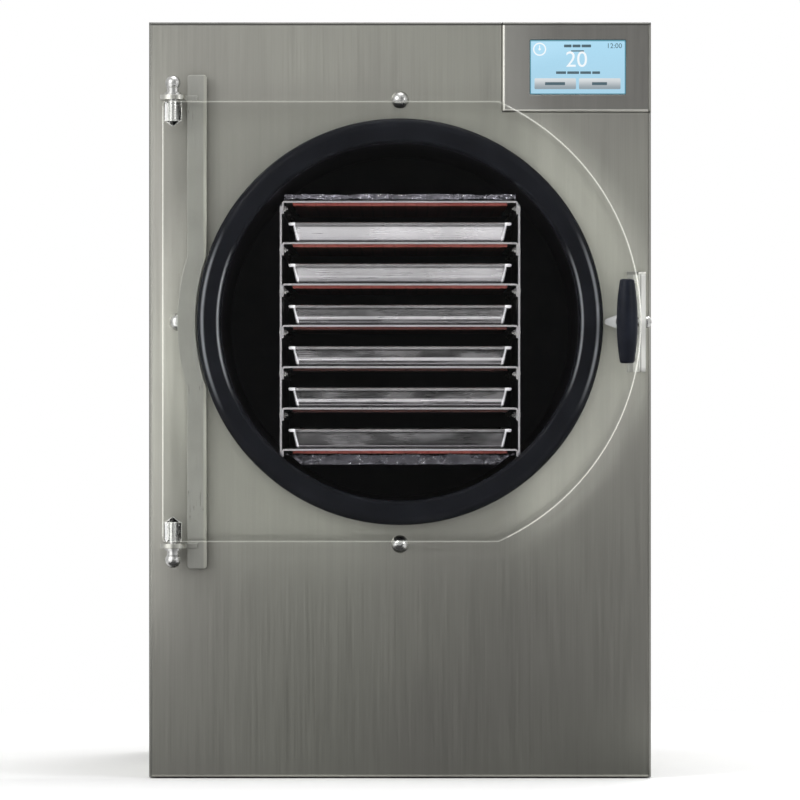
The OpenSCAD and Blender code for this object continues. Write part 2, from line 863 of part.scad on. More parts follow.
// Free end that turns down and out through the jacket
module coil_tail(y, side) {
    turned = 90 - coil_free_deg;
    in_coil_plane(y)
        rotate([0, 0, 90 + side * coil_free_deg])
            translate([coil_r + tail_bend, 0, 0])
                rotate([0, 0, side > 0 ? 180 : 180 - turned])
                    rotate_extrude(angle = turned)
                        translate([tail_bend, 0])
                            circle(d = coil_d);
    a = coil_free_deg;
    low = axis_z - (coil_r + tail_bend * (1 - sin(a))) * cos(a) - tail_bend * sin(a) * cos(a);
    rod_z(coil_d, -side * tail_x, y, [tail_end_z, low + 0.5]);
    rod_z(coil_d + 2 * sleeve_over, -side * tail_x, y, [low - 5, low + 2]);
}

// Upright plate with a round seat for the jacket's back end, on a folded foot
module chamber_saddle() {
    y = jacket_back_y - 20;
    half = jacket_out * 0.72;
    color(plated)
        difference() {
            union() {
                span([-half, half], [y, y + 3], [floor_z, axis_z - jacket_out * 0.62]);
                span([-half, half], [y, y + 26], [floor_z, floor_z + 3]);
            }
            rod_y(2 * (jacket_out + seat_fit), 0, [y - cut, y + 3 + cut], axis_z);
            rod_y(stub_d + 8, 0, [y - cut, y + 3 + cut], drain_z);
        }
}

// Thick ring with a groove that slips over the chamber's mouth
module door_gasket() {
    g0 = door_back_y + gasket_gap;
    g1 = front_y - 3;
    lip_r = chamber_r - gasket_lip;
    color(rubber)
        about_chamber()
            difference() {
                round_rect([lip_r, gasket_r], [g0, g1], 4.5);
                difference() {
                    translate([gasket_r - gasket_round, g0 - nose])
                        square([gasket_round + nose, gasket_round + nose]);
                    translate([gasket_r - gasket_round, g0 + gasket_round])
                        circle(r = gasket_round);
                }
                translate([chamber_r - seat_fit, mouth_y - seat_fit])
                    square([chamber_wall + 2 * seat_fit, nose]);
                translate([lip_r - cut, mouth_y + 9])
                    square([gasket_lip + 2 * cut, nose]);
            }
}

// Bolt with a dome head, through the sheet and the ring, with its nut
module flange_bolts() {
    nut_y = ring_y + ring_t;
    color(bright)
        at_flange_bolts() {
            translate([0, front_y, 0])
                rotate([90, 0, 0])
                    dome(bolt_head_d, bolt_head_h);
            rod_y(bolt_d, 0, [front_y - 1, nut_y + 12], 0);
            translate([0, nut_y, 0])
                rotate([-90, 0, 0])
                    cylinder(d = bolt_d * 1.9, h = 8, $fn = 6);
        }
}

// ---------------------------------------------------------------- rack and trays

function shelf_z(i) = axis_z - rack_drop + ((shelf_count + 1) / 2 - i) * shelf_pitch;

module rack_side_plate() {
    color(bright)
        difference() {
            sideways([-rack_side, -rack_side + rack_t])
                round_rect([rack_y0, rack_y1], [rack_low, rack_high], 4);
            for (i = [1 : shelf_count - 1])
                for (y = [rack_y0 + 20, (rack_y0 + rack_y1) / 2, rack_y1 - 20])
                    rod_x(4, [-rack_side - cut, -rack_side + rack_t + cut], y, shelf_z(i) - 8);
            for (y = [rack_y0 + 130, rack_y1 - 130])
                rod_x(24, [-rack_side - cut, -rack_side + rack_t + cut], y, shelf_z(4) + shelf_pitch / 2);
        }
}

module rack_side_left() {
    rack_side_plate();
}

module rack_side_right() {
    mirror([1, 0, 0])
        rack_side_plate();
}

// Folded shelf with its heater mat bonded underneath
module shelf(i) {
    z = shelf_z(i);
    fold = min(shelf_fold, z - rack_low);
    bend = 3.2;
    color(bright)
        upright([rack_y0 + 1, rack_y1 - 1])
            difference() {
                shelf_outline(shelf_half_w, z, fold, bend);
                shelf_outline(shelf_half_w - rack_t, z - rack_t, fold + cut, bend - rack_t);
            }
    color([0.55, 0.22, 0.17])
        difference() {
            span([-mat_w / 2, mat_w / 2], [rack_y0 + 8, rack_y1 - 8], [z - rack_t - mat_t, z - rack_t + 0.5]);
            for (y = [rack_y0 + 90, rack_y1 - 90])
                rod_z(16, 0, y, [z - rack_t - mat_t - cut, z - rack_t]);
        }
}

// Outline of a shelf's fold, filled, with round top corners
module shelf_outline(half_w, z, fold, r) {
    translate([-half_w + r, z - r])
        square([2 * (half_w - r), r]);
    translate([-half_w, z - fold])
        square([2 * half_w, fold - r]);
    for (x = [-half_w + r, half_w - r])
        translate([x, z - r])
            circle(r = r);
}

module shelf_1() { shelf(1); }
module shelf_2() { shelf(2); }
module shelf_3() { shelf(3); }
module shelf_4() { shelf(4); }
module shelf_5() { shelf(5); }
module shelf_6() { shelf(6); }
module shelf_7() { shelf(7); }

// Tray on the shelf below its heater: leaning walls, a chamfered foot and a rolled rim
module tray(i) {
    mid = [tray_w / 2 - tray_corner, tray_l / 2 - tray_corner];
    wall_r = tray_corner - tray_rim;
    foot_r = wall_r - tray_lean;
    foot_h = 3;
    rim_h = 3.2;
    bevel = 1;
    color([0.75, 0.75, 0.74])
        translate([0, (rack_y0 + rack_y1) / 2, shelf_z(i + 1)])
            difference() {
                union() {
                    leaning_box(mid, [0, foot_h], [foot_r - foot_h, foot_r]);
                    leaning_box(mid, [foot_h, tray_h], [foot_r, wall_r]);
                    leaning_box(mid, [tray_h - rim_h, tray_h - bevel], [tray_corner - bevel, tray_corner]);
                    leaning_box(mid, [tray_h - bevel, tray_h], [tray_corner, tray_corner - bevel]);
                }
                leaning_box(mid, [tray_t, foot_h + tray_t],
                    [foot_r - foot_h - tray_t / 2, foot_r - tray_t]);
                leaning_box(mid, [foot_h + tray_t, tray_h + cut], [foot_r - tray_t, wall_r - tray_t]);
            }
}

module tray_1() { tray(1); }
module tray_2() { tray(2); }
module tray_3() { tray(3); }
module tray_4() { tray(4); }
module tray_5() { tray(5); }
module tray_6() { tray(6); }

module foil_blanket_top() {
    w = shelf_half_w - 1;
    color(bright)
        upright([rack_y0 + 2, rack_y1 - 2])
            round_rect([-w, w], [shelf_z(1), shelf_z(1) + blanket_top_t], 3);
}

// Foil blanket that fills the space between the lowest mat and the chamber's round floor
module foil_blanket_bottom() {
    top = shelf_z(shelf_count) - rack_t - mat_t;
    low = top - blanket_low_t;
    w_top = shelf_half_w - rack_t - 1;
    w_low = sqrt(pow(chamber_r - 1.5, 2) - pow(axis_z - low, 2));
    color(bright)
        upright([rack_y0 + 2, rack_y1 - 2])
            polygon([[-w_top, top], [w_top, top], [w_top, top - 2], [w_low, low], [-w_low, low],
                [-w_top, top - 2]]);
}

// ---------------------------------------------------------------- hinge

// Flat bar on four bosses that curves round the gasket, with an ear at each end for the door's pins
module hinge_bracket() {
    bar_y1 = front_y - bar_stand;
    bar_y0 = bar_y1 - bar_t;
    bar_x0 = -bar_far_x;
    bar_x1 = bar_x0 + bar_w;
    color(steel) {
        translate([0, 0, axis_z])
            upright([bar_y0, bar_y1])
                difference() {
                    union() {
                        round_rect([bar_x0, bar_x1], [-bar_half_h, bar_half_h], 3);
                        intersection() {
                            circle(r = bolt_circle_r, $fn = big_fn);
                            translate([-gasket_r * 1.2, -gasket_r / 2])
                                square([gasket_r * 1.2 + bar_x0 + bar_w / 2, gasket_r]);
                        }
                    }
                    circle(r = gasket_r + 1.5, $fn = big_fn);
                }
        both_hinge_ends() {
            hinge_ear(bar_x0, [bar_y0, bar_y1]);
            for (z = [100, 190])
                rod_y(14, (bar_x0 + bar_x1) / 2, [bar_y1 - cut, front_y], z);
        }
    }
}

module hinge_ear(bar_x0, bar_y) {
    z0 = door_half_h + ear_gap;
    difference() {
        union() {
            rod_z(2 * ear_reach, -pin_x, pin_y, [z0, z0 + ear_t]);
            span([-pin_x - ear_reach, -pin_x + ear_reach], [pin_y, bar_y[1]], [z0, z0 + ear_t]);
            span([-pin_x - ear_reach, bar_x0 + bar_w / 2], [bar_y[0] - 6, bar_y[1]], [z0, z0 + ear_t]);
        }
        rod_z(pin_d + 2 * run_fit, -pin_x, pin_y, [z0 - cut, z0 + ear_t + cut]);
    }
}

// Two pins: each passes through an ear into the door's bush and up into its ball nut
module hinge_pins() {
    z0 = door_half_h - pin_in_door;
    color(bright)
        both_hinge_ends() {
            translate([-pin_x, pin_y, z0])
                cylinder(d1 = pin_d - 2, d2 = pin_d, h = 1);
            rod_z(pin_d, -pin_x, pin_y, [z0 + 1, ear_top + pin_in_nut - 0.2]);
        }
}

// Two ball nuts: a foot, a neck and a ball, bored for the pin
module hinge_nuts() {
    color(bright)
        both_hinge_ends()
            translate([-pin_x, pin_y, ear_top])
                difference() {
                    union() {
                        cylinder(d = nut_foot_d, h = 2.4);
                        cylinder(d = ball_d * 0.78, h = ball_h);
                        translate([0, 0, ball_h])
                            sphere(d = ball_d);
                    }
                    translate([0, 0, -cut])
                        cylinder(d = pin_d + 2 * run_fit, h = pin_in_nut + cut);
                }
}

// Two bushes with pointed inner ends, let into the door's edges
module hinge_bushes() {
    color([0.86, 0.86, 0.84])
        both_hinge_ends()
            translate([-pin_x, pin_y, door_half_h])
                difference() {
                    bush_form(bush_d / 2, bush_len);
                    translate([0, 0, -pin_in_door - 1])
                        cylinder(d = pin_d + 2 * run_fit, h = pin_in_door + 1 + cut);
                }
}

// Cylinder that hangs down from z = 0 and ends in a drill point
module bush_form(r, depth) {
    translate([0, 0, -depth])
        cylinder(r = r, h = depth);
    translate([0, 0, -depth - r * drill_point])
        cylinder(r1 = 0, r2 = r, h = r * drill_point);
}

// ---------------------------------------------------------------- door

// Clear plate: straight on the hinge side, flat at top and bottom, round on the latch side
module door_plate() {
    color([0.85, 0.9, 0.9, 0.35])
        difference() {
            translate([0, 0, axis_z])
                upright([door_face_y, door_back_y])
                    door_outline();
            both_hinge_ends()
                translate([-pin_x, pin_y, door_half_h])
                    bush_form(bush_d / 2 + run_fit, bush_len);
            both_hinge_ends()
                rod_z(bush_d + 2 * run_fit, -pin_x, pin_y, [door_half_h - 1, door_half_h + cut]);
            rod_y(sleeve_d + 2 * run_fit, latch_x, [door_face_y - cut, door_back_y + cut], axis_z);
        }
}

module door_outline() {
    intersection() {
        union() {
            circle(r = door_r, $fn = big_fn);
            translate([-door_r, -door_half_h])
                square([door_r, 2 * door_half_h]);
        }
        round_rect([-door_left, door_r + 2 * door_corner_r], [-door_half_h, door_half_h], door_corner_r);
    }
}

// Flanged sleeve in the door that the latch shaft turns in
module latch_bush() {
    color(bright)
        difference() {
            union() {
                rod_y(sleeve_d, latch_x, [door_face_y - sleeve_flange_t, door_back_y], axis_z);
                rod_y(22, latch_x, [door_face_y - sleeve_flange_t, door_face_y], axis_z);
            }
            rod_y(shaft_d + 2 * run_fit, latch_x, [door_face_y - 2 * cut - sleeve_flange_t, door_back_y + cut],
                axis_z);
        }
}

module latch_shaft() {
    color(bright)
        rod_y(shaft_d, latch_x, [grip_y + 1, front_y - 9], axis_z);
}

// Barrel grip on a round neck
module door_handle() {
    end_r = 3;
    half = grip_len / 2;
    belly = (grip_d - grip_end_d) / 2;
    reach = half - end_r;
    arc_r = (reach * reach + belly * belly) / (2 * belly);
    color([0.07, 0.075, 0.085])
        difference() {
            union() {
                translate([latch_x, grip_y, axis_z])
                    rotate_extrude()
                        grip_profile(half, end_r, arc_r);
                rod_y(18, latch_x, [grip_y, door_face_y - sleeve_flange_t - 0.4], axis_z);
            }
            rod_y(shaft_d + 2 * run_fit, latch_x, [grip_y, door_face_y], axis_z);
        }
}

// Half outline of the grip: a shallow arc with small round ends
module grip_profile(half, end_r, arc_r) {
    intersection() {
        translate([grip_d / 2 - arc_r, 0])
            circle(r = arc_r, $fn = big_fn);
        translate([0, end_r - half])
            square([grip_d, 2 * (half - end_r)]);
    }
    translate([0, -half])
        square([grip_end_d / 2 - end_r, 2 * half]);
    for (side = [-1, 1])
        translate([grip_end_d / 2 - end_r, side * (half - end_r)])
            circle(r = end_r);
}

// Teardrop cam on a long hub: its nose turns into the strike's windows
module latch_cam() {
    tip_r = 3.5;
    d = cam_reach - tip_r;
    c = (cam_r - tip_r) / d;
    n = sqrt(1 - c * c);
    color([0.88, 0.88, 0.88])
        difference() {
            union() {
                translate([latch_x, 0, axis_z])
                    upright(cam_y) {
                        circle(r = cam_r);
                        translate([-d, 0])
                            circle(r = tip_r);
                        polygon([[-cam_r * c, cam_r * n], [-cam_r * c, -cam_r * n],
                            [-d - tip_r * c, -tip_r * n], [-d - tip_r * c, tip_r * n]]);
                    }
                rod_y(17, latch_x, [door_back_y + 0.5, cam_y[0] + cut], axis_z);
            }
            rod_y(shaft_d + 2 * run_fit, latch_x, [door_back_y, cam_y[1] + cut], axis_z);
        }
}

// ---------------------------------------------------------------- strike

// Window that the cam's nose turns into, cut across one of the strike's plates
module strike_opening(x) {
    span([x[0] - cut, x[1] + cut], strike_window_y, [axis_z - strike_window, axis_z + strike_window]);
}

// Outline of an upright strike plate, rounded at its outer corners
module strike_plate(x, y1) {
    difference() {
        sideways(x)
            difference() {
                round_rect([front_y - strike_stand, y1 + 8],
                    [axis_z - strike_len / 2, axis_z + strike_len / 2], 5);
                translate([y1, axis_z - strike_len])
                    square([8 + cut, 2 * strike_len]);
            }
        strike_opening(x);
    }
}

module strike_bracket() {
    color(steel)
        difference() {
            union() {
                strike_plate([keeper_out, strike_out], front_y);
                span([keeper_in - 12, strike_out], [front_y - strike_base_t, front_y],
                    [axis_z - strike_len / 2, axis_z + strike_len / 2]);
            }
            rod_y(bolt_head_d + 2, bolt_circle_r, [front_y - strike_base_t - cut, front_y + cut], axis_z);
            rod_x(strike_bolt_d + 2 * seat_fit, [keeper_out - cut, strike_out + cut], strike_bolt_y, axis_z);
            for (z = [-strike_screw_z, strike_screw_z])
                rod_y(screw_d, strike_screw_x, [front_y - strike_base_t - cut, front_y + cut], axis_z + z);
        }
}

// Second plate, clamped to the first: its hole is long so that it can be set
module strike_keeper() {
    color(bright)
        difference() {
            strike_plate([keeper_in, keeper_out], front_y - strike_base_t - 0.2);
            sideways([keeper_in - cut, keeper_out + cut])
                slot_outline([strike_bolt_y, axis_z], strike_bolt_d + 2 * seat_fit, 14);
        }
}

module strike_bolt() {
    color(bright) {
        rod_x(strike_bolt_d, [keeper_in - 1, strike_out + 3.4], strike_bolt_y, axis_z);
        translate([keeper_in, strike_bolt_y, axis_z])
            rotate([0, -90, 0])
                dome(11, 2.8);
        difference() {
            union() {
                rod_x(13, [strike_out, strike_out + 2.5], strike_bolt_y, axis_z);
                translate([strike_out + 2.5, strike_bolt_y, axis_z])
                    rotate([0, 90, 0])
                        dome(12, 3.6);
            }
            rod_x(strike_bolt_d + 2 * run_fit, [strike_out - cut, strike_out + 3.6], strike_bolt_y, axis_z);
        }
    }
}

// ---------------------------------------------------------------- cooling plant

// Hermetic compressor on rubber feet, with two pipe stubs and a terminal box
module compressor() {
    mid_z = comp_low + comp_h * 0.52;
    cap_h = 34;
    color([0.07, 0.07, 0.08])
        translate([comp_x, comp_y, 0]) {
            translate([0, 0, comp_low + cap_h - 1])
                cylinder(d = comp_d, h = comp_h - 2 * cap_h + 2);
            translate([0, 0, comp_top - cap_h])
                dome(comp_d, cap_h);
            translate([0, 0, comp_low + cap_h])
                mirror([0, 0, 1])
                    dome(comp_d, cap_h);
            translate([0, 0, mid_z])
                cylinder(d = comp_d + 12, h = 7);
            span([-100, 100], [-62, 62], [comp_low - 4, comp_low + 1]);
            rod_z(70, 0, 0, [comp_low - 1, comp_low + 12]);
            span([-34, 34], [-comp_d / 2 - 22, -comp_d / 2 + 12], [mid_z - 52, mid_z - 8]);
        }
    color(rubber)
        for (x = [-84, 84], y = [-46, 46])
            rod_z(22, comp_x + x, comp_y + y, [floor_z, comp_low - 3]);
    color(copper) {
        rod_z(pipe_d + 3, comp_x + comp_stub, comp_y + comp_stub, [comp_top - 24, join_z]);
        rod_z(pipe_d + 3, comp_x - comp_stub, comp_y - comp_stub, [comp_top - 24, join_z]);
    }
}

// Finned block with one tube that runs to and fro, and the liquid line with its drier
module condenser() {
    step = (cond_len - 4) / (fin_count + 1);
    color([0.6, 0.62, 0.64]) {
        for (i = [1 : fin_count])
            span([cond_x0, cond_x1], [cond_y0 + 1 + i * step, cond_y0 + 2 + i * step], [cond_z0, cond_z1]);
        for (y = [cond_y0, cond_y1 - 2]) {
            span([cond_x0, cond_x1], [y, y + 2], [cond_z0, cond_z1]);
            span([-side_x + side_flange + 0.5, cond_x1], [y, y + 2], [floor_z, cond_z0 + cut]);
        }
    }
    color(copper) {
        for (i = [0 : cond_tubes - 1])
            rod_y(pipe_d, cond_tube_x, [cond_end_y, cond_y1 + 6], liquid_z + i * cond_step);
        for (i = [0 : cond_tubes - 2])
            condenser_bend(i);
        curve([cond_tube_x, cond_end_y, cond_top_z], [0, -1, 0], [0, 0, 1], pipe_bend, pipe_d, 90);
        rod_z(pipe_d, cond_tube_x, cond_end_y - pipe_bend, [join_z - 2, join_z]);
        pipe_route([[cond_tube_x, cond_end_y, liquid_z], [cond_tube_x, coil_y0, liquid_z],
            [tail_x, coil_y0, liquid_z], [tail_x, coil_y0, tail_end_z]], pipe_d, pipe_bend);
        rod_x(24, [-140, -60], coil_y0, liquid_z);
    }
}

// Half turn between two of the condenser's straight tubes, at the back or the front in turn
module condenser_bend(i) {
    y = i % 2 == 0 ? cond_y1 + 6 : cond_end_y;
    ahead = i % 2 == 0 ? 1 : -1;
    curve([cond_tube_x, y, liquid_z + i * cond_step], [0, ahead, 0], [0, 0, 1], cond_step / 2, pipe_d, 180);
}

// Plate with a round collar between the condenser and the room inside
module fan_shroud() {
    collar_d = fan_d + 12;
    color(plated)
        difference() {
            union() {
                span([cond_x1, cond_x1 + 2], [cond_y0, cond_y1], [floor_z, cond_z1]);
                rod_x(collar_d + 4, [cond_x1 + 1, fan_x0 + fan_t], cond_mid_y, fan_z);
            }
            rod_x(collar_d, [cond_x1 - cut, fan_x0 + fan_t + cut], cond_mid_y, fan_z);
        }
}

// Impeller: flat blades set at an angle on a hub
module condenser_fan() {
    color([0.75, 0.75, 0.73])
        translate([fan_x0, cond_mid_y, fan_z])
            rotate([0, 90, 0])
                difference() {
                    union() {
                        translate([0, 0, 1])
                            cylinder(d = 44, h = fan_t - 4);
                        for (i = [0 : fan_blades - 1])
                            rotate([0, 0, i * 360 / fan_blades])
                                intersection() {
                                    cylinder(d = fan_d, h = fan_t);
                                    translate([16, 0, fan_t / 2 - 1])
                                        rotate([24, 0, 0])
                                            translate([0, -24, -1])
                                                cube([fan_d, 48, 2]);
                                }
                    }
                    translate([0, 0, -cut])
                        cylinder(d = motor_shaft_d + 2 * run_fit, h = fan_t + 2 * cut);
                }
}

module fan_motor() {
    color([0.16, 0.16, 0.17]) {
        rod_x(motor_d, [motor_x0, motor_x0 + motor_len], cond_mid_y, fan_z);
        rod_x(motor_d * 0.6, [motor_x0 - 4, motor_x0 + cut], cond_mid_y, fan_z);
    }
    color(plated) {
        rod_x(motor_shaft_d, [fan_x0 - 1, motor_x0 + cut], cond_mid_y, fan_z);
        span([motor_x0 + 14, motor_x0 + 17], [cond_mid_y - 26, cond_mid_y + 26], [floor_z, fan_z - 20]);
        span([motor_x0 + 14, motor_x0 + 40], [cond_mid_y - 26, cond_mid_y + 26], [floor_z, floor_z + 3]);
    }
}

// Pipe from the evaporator's far tail to the compressor
module suction_line() {
    x = comp_x + comp_stub;
    y = comp_y + comp_stub;
    color(copper)
        pipe_route([[-tail_x, coil_y1, tail_end_z], [-tail_x, coil_y1, run_z], [x, coil_y1, run_z],
            [x, y, run_z], [x, y, join_z]], pipe_d, pipe_bend);
}

// Pipe from the compressor to the condenser's upper end
module discharge_line() {
    x = comp_x - comp_stub;
    y = comp_y - comp_stub;
    end_y = cond_end_y - pipe_bend;
    color(copper)
        pipe_route([[x, y, join_z], [x, y, run_z], [cond_tube_x, y, run_z], [cond_tube_x, end_y, run_z],
            [cond_tube_x, end_y, join_z]], pipe_d, pipe_bend);
}

// ---------------------------------------------------------------- back fittings

// Flange of an electrical fitting: a plate on the back sheet with two screw holes
module fitting_flange(x, size) {
    difference() {
        upright([back_y, back_y + flange_t])
            round_rect([x - size.x / 2, x + size.x / 2], [fit_z - size.y / 2, fit_z + size.y / 2], 3);
        for (side = [-1, 1])
            rod_y(3.2, x + side * (size.x / 2 - 5), [back_y - cut, back_y + flange_t + cut], fit_z);
    }
}

// Appliance inlet: a deep cup with three blades
module power_inlet() {
    depth = 22;
    color([0.05, 0.05, 0.05])
        difference() {
            union() {
                fitting_flange(inlet_x, [50, 27]);
                span([inlet_x - inlet_cut.x / 2, inlet_x + inlet_cut.x / 2], [back_y - depth, back_y + 1],
                    [fit_z - inlet_cut.y / 2, fit_z + inlet_cut.y / 2]);
            }
            span([inlet_x - 12, inlet_x + 12], [back_y - depth + 4, back_y + flange_t + cut],
                [fit_z - 8.2, fit_z + 8.2]);
        }
    color(bright)
        for (pin = [[-7, -3], [0, 2.5], [7, -3]])
            span([inlet_x + pin.x - 1, inlet_x + pin.x + 1], [back_y - depth + 3, back_y - 1],
                [fit_z + pin.y - 2, fit_z + pin.y + 2]);
}

// Outlet for the pump's plug: a raised face with three slots
module pump_outlet() {
    color([0.05, 0.05, 0.05])
        difference() {
            union() {
                fitting_flange(outlet_x, [50, 27]);
                span([outlet_x - inlet_cut.x / 2, outlet_x + inlet_cut.x / 2], [back_y - 24, back_y + 1],
                    [fit_z - inlet_cut.y / 2, fit_z + inlet_cut.y / 2]);
                span([outlet_x - 12, outlet_x + 12], [back_y + 1, back_y + flange_t + 1],
                    [fit_z - 8.2, fit_z + 8.2]);
            }
            for (pin = [[-7, -3], [0, 2.5], [7, -3]])
                span([outlet_x + pin.x - 1.4, outlet_x + pin.x + 1.4], [back_y - 15, back_y + flange_t + 2],
                    [fit_z + pin.y - 2.6, fit_z + pin.y + 2.6]);
        }
}

// Switch housing with a bezel and the pin that its rocker tilts on
module switch_body() {
    color([0.05, 0.05, 0.05]) {
        difference() {
            union() {
                upright([back_y, back_y + flange_t])
                    round_rect([switch_x - 17, switch_x + 17], [fit_z - 14, fit_z + 14], 2);
                span([switch_x - switch_cut.x / 2, switch_x + switch_cut.x / 2], [back_y - 22, back_y + 1],
                    [fit_z - switch_cut.y / 2, fit_z + switch_cut.y / 2]);
            }
            span([switch_x - 11.5, switch_x + 11.5], [back_y - 13, back_y + flange_t + cut],
                [fit_z - 10, fit_z + 10]);
        }
        rod_x(rocker_pin_d, [switch_x - 12, switch_x + 12], rocker_y, fit_z);
    }
}

// Rocker at rest with its lower half pressed in
module switch_rocker() {
    color([0.5, 0.06, 0.05])
        translate([switch_x, rocker_y, fit_z])
            rotate([-rocker_tilt_deg / 2, 0, 0])
                difference() {
                    intersection() {
                        span([-11, 11], [-4, 8], [-9, 9]);
                        translate([0, rocker_y_arc, 0])
                            rod_x(2 * (rocker_y_arc + 6.5), [-12, 12], 0, 0);
                    }
                    rod_x(2 * 22, [-12, 12], 27.2, 0);
                    rod_x(rocker_pin_d + 2 * run_fit, [-12, 12], 0, 0);
                }
}

// Threaded nipple for the pump's hose, joined to the chamber's stub inside
module vacuum_port() {
    y1 = back_y + 3;
    y2 = y1 + 9;
    color([0.78, 0.62, 0.3])
        difference() {
            union() {
                rod_y(vac_d, port_x, [vac_joint_y, y1], port_z);
                rod_y(42, port_x, [back_y, y1], port_z);
                translate([port_x, y1, port_z])
                    rotate([-90, 0, 0])
                        cylinder(d = 30, h = 9, $fn = 6);
                rod_y(port_d, port_x, [y2 - cut, y2 + port_len], port_z);
                translate([port_x, y2 + port_len, port_z])
                    rotate([-90, 0, 0])
                        cylinder(d1 = port_d, d2 = port_bore + 3, h = 3);
            }
            rod_y(port_bore, port_x, [vac_joint_y - cut, y2 + port_len + 3 + cut], port_z);
        }
}

// Drain pipe from the chamber to a ball valve with a spout
module drain_valve() {
    color([0.78, 0.62, 0.3])
        difference() {
            union() {
                pipe_route([[0, drain_y, drain_joint_z], [0, drain_y, drain_z], [0, valve_y, drain_z]],
                    stub_d, 18);
                rod_y(28, 0, [back_y, back_y + 4], drain_z);
                translate([0, back_y + 4, drain_z])
                    rotate([-90, 0, 0])
                        cylinder(d = 22, h = 8, $fn = 6);
                translate([0, valve_y, drain_z])
                    sphere(d = 25);
                translate([0, valve_y + 8, drain_z])
                    rotate([-90, 0, 0])
                        cylinder(d = 20, h = 10, $fn = 6);
                rod_y(spout_d, 0, [valve_y + 17, valve_y + 17 + spout_len], drain_z);
                rod_z(10, 0, valve_y, [drain_z + 8, lever_z]);
                rod_z(lever_pin_d, 0, valve_y, [lever_z - 1, lever_z + 6]);
            }
            pipe_route([[0, drain_y, drain_joint_z - cut + 2], [0, drain_y, drain_z],
                [0, valve_y - 6, drain_z]], stub_bore, 18);
            rod_z(stub_bore, 0, drain_y, [drain_joint_z - cut, drain_joint_z + cut]);
            rod_y(spout_d - 4, 0, [valve_y + 6, valve_y + 18 + spout_len], drain_z);
        }
}

// Flat lever on the valve's stem: across the pipe when closed
module drain_lever() {
    color([0.55, 0.08, 0.06])
        difference() {
            union() {
                rod_z(14, 0, valve_y, [lever_z, lever_z + 4]);
                span([0, 30], [valve_y - 5, valve_y + 5], [lever_z, lever_z + 2.5]);
                rod_z(12, 30, valve_y, [lever_z, lever_z + 2.5]);
            }
            rod_z(lever_pin_d + 2 * run_fit, 0, valve_y, [lever_z - cut, lever_z + 4 + cut]);
        }
}

base_tray();
feet();
front_panel();
side_panel_left();
side_panel_right();
top_cover();
rear_panel();
control_fascia();
touch_screen();
control_board();
vacuum_chamber();
chamber_back();
chamber_insulation();
evaporator_coil();
chamber_saddle();
door_gasket();
flange_bolts();
hinge_bracket();
hinge_pins();
hinge_nuts();
strike_bracket();
strike_keeper();
strike_bolt();
rack_side_left();
rack_side_right();
foil_blanket_top();
foil_blanket_bottom();
shelf_1();
shelf_2();
shelf_3();
shelf_4();
shelf_5();
shelf_6();
shelf_7();
tray_1();
tray_2();
tray_3();
tray_4();
tray_5();
tray_6();
compressor();
condenser();
fan_shroud();
fan_motor();
condenser_fan();
suction_line();
discharge_line();
power_inlet();
pump_outlet();
switch_body();
switch_rocker();
vacuum_port();
drain_valve();
drain_lever();
door_plate();
hinge_bushes();
latch_bush();
door_handle();
latch_shaft();
latch_cam();
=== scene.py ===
"""Dressing for a cabinet freeze dryer: finishes, small fitted pieces, studio light and camera, all placed
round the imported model, whose nodes stay where they are."""

import functools
import math
from types import SimpleNamespace

import bmesh
import bpy
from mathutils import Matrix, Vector


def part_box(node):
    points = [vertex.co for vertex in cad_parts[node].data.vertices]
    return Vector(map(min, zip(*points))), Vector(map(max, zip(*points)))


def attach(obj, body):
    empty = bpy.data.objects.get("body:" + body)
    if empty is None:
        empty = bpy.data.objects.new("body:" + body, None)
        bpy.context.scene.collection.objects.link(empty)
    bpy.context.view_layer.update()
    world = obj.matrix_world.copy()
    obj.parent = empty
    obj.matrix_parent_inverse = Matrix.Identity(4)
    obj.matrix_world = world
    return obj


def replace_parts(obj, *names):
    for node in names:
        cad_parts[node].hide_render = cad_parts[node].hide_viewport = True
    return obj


bl_info = {
    "name": "Freeze dryer dressing",
    "version": (1, 0, 0),
    "blender": (4, 5, 0),
    "location": "3D View > Sidebar > Dryer",
    "description": "Finishes and fitted pieces of a front-loading vacuum freeze dryer",
    "category": "Object",
}

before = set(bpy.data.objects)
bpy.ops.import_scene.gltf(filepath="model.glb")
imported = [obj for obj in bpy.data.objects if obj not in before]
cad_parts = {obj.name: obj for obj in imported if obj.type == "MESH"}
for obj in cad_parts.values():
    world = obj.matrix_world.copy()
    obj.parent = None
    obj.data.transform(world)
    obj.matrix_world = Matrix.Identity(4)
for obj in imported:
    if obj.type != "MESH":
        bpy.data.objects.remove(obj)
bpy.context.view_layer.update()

FRONT_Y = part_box("front_panel")[0].y
BACK_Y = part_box("side_panel_left")[1].y
AXIS_Z = (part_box("vacuum_chamber")[0].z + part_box("vacuum_chamber")[1].z) / 2
RACK_LOW, RACK_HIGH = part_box("rack_side_left")
SHELVES = [f"shelf_{i}" for i in range(1, 8)]
SLOT_OF = {name: node.material_slots[0].material.name.split(".")[0] for name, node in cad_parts.items()}
PANEL_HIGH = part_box("front_panel")[1]
BOARD_BACK = -0.2765     # where the control board ends and the parts on it begin
LOW_FOIL_FOOT = 0.1055   # half the lower blanket's width at its foot
MAT_WIDTH = 0.23
MAT_INSET = 0.008        # from the rack's front and back to a mat
MAT_HEAD = 0.00205       # from a shelf's top down to a mat's head and foot
MAT_FOOT = 0.0045
SCREW_WIDTH = 0.0064
FLANGE = 0.2182          # radius from which the chamber's mouth is bare steel
MOUTH_Y = -0.29
PACK_LEFT = -0.2216      # where the condenser's fins end at the left
THREAD = (0.3560, 0.3730)
UNIT = 0.0010757         # one unit of the screen's layout, in metres
LAYOUT_MIDDLE = 400      # the dryer's middle and the chamber's axis in that layout
LAYOUT_AXIS = 322


# ---------------------------------------------------------------- values that a user would change

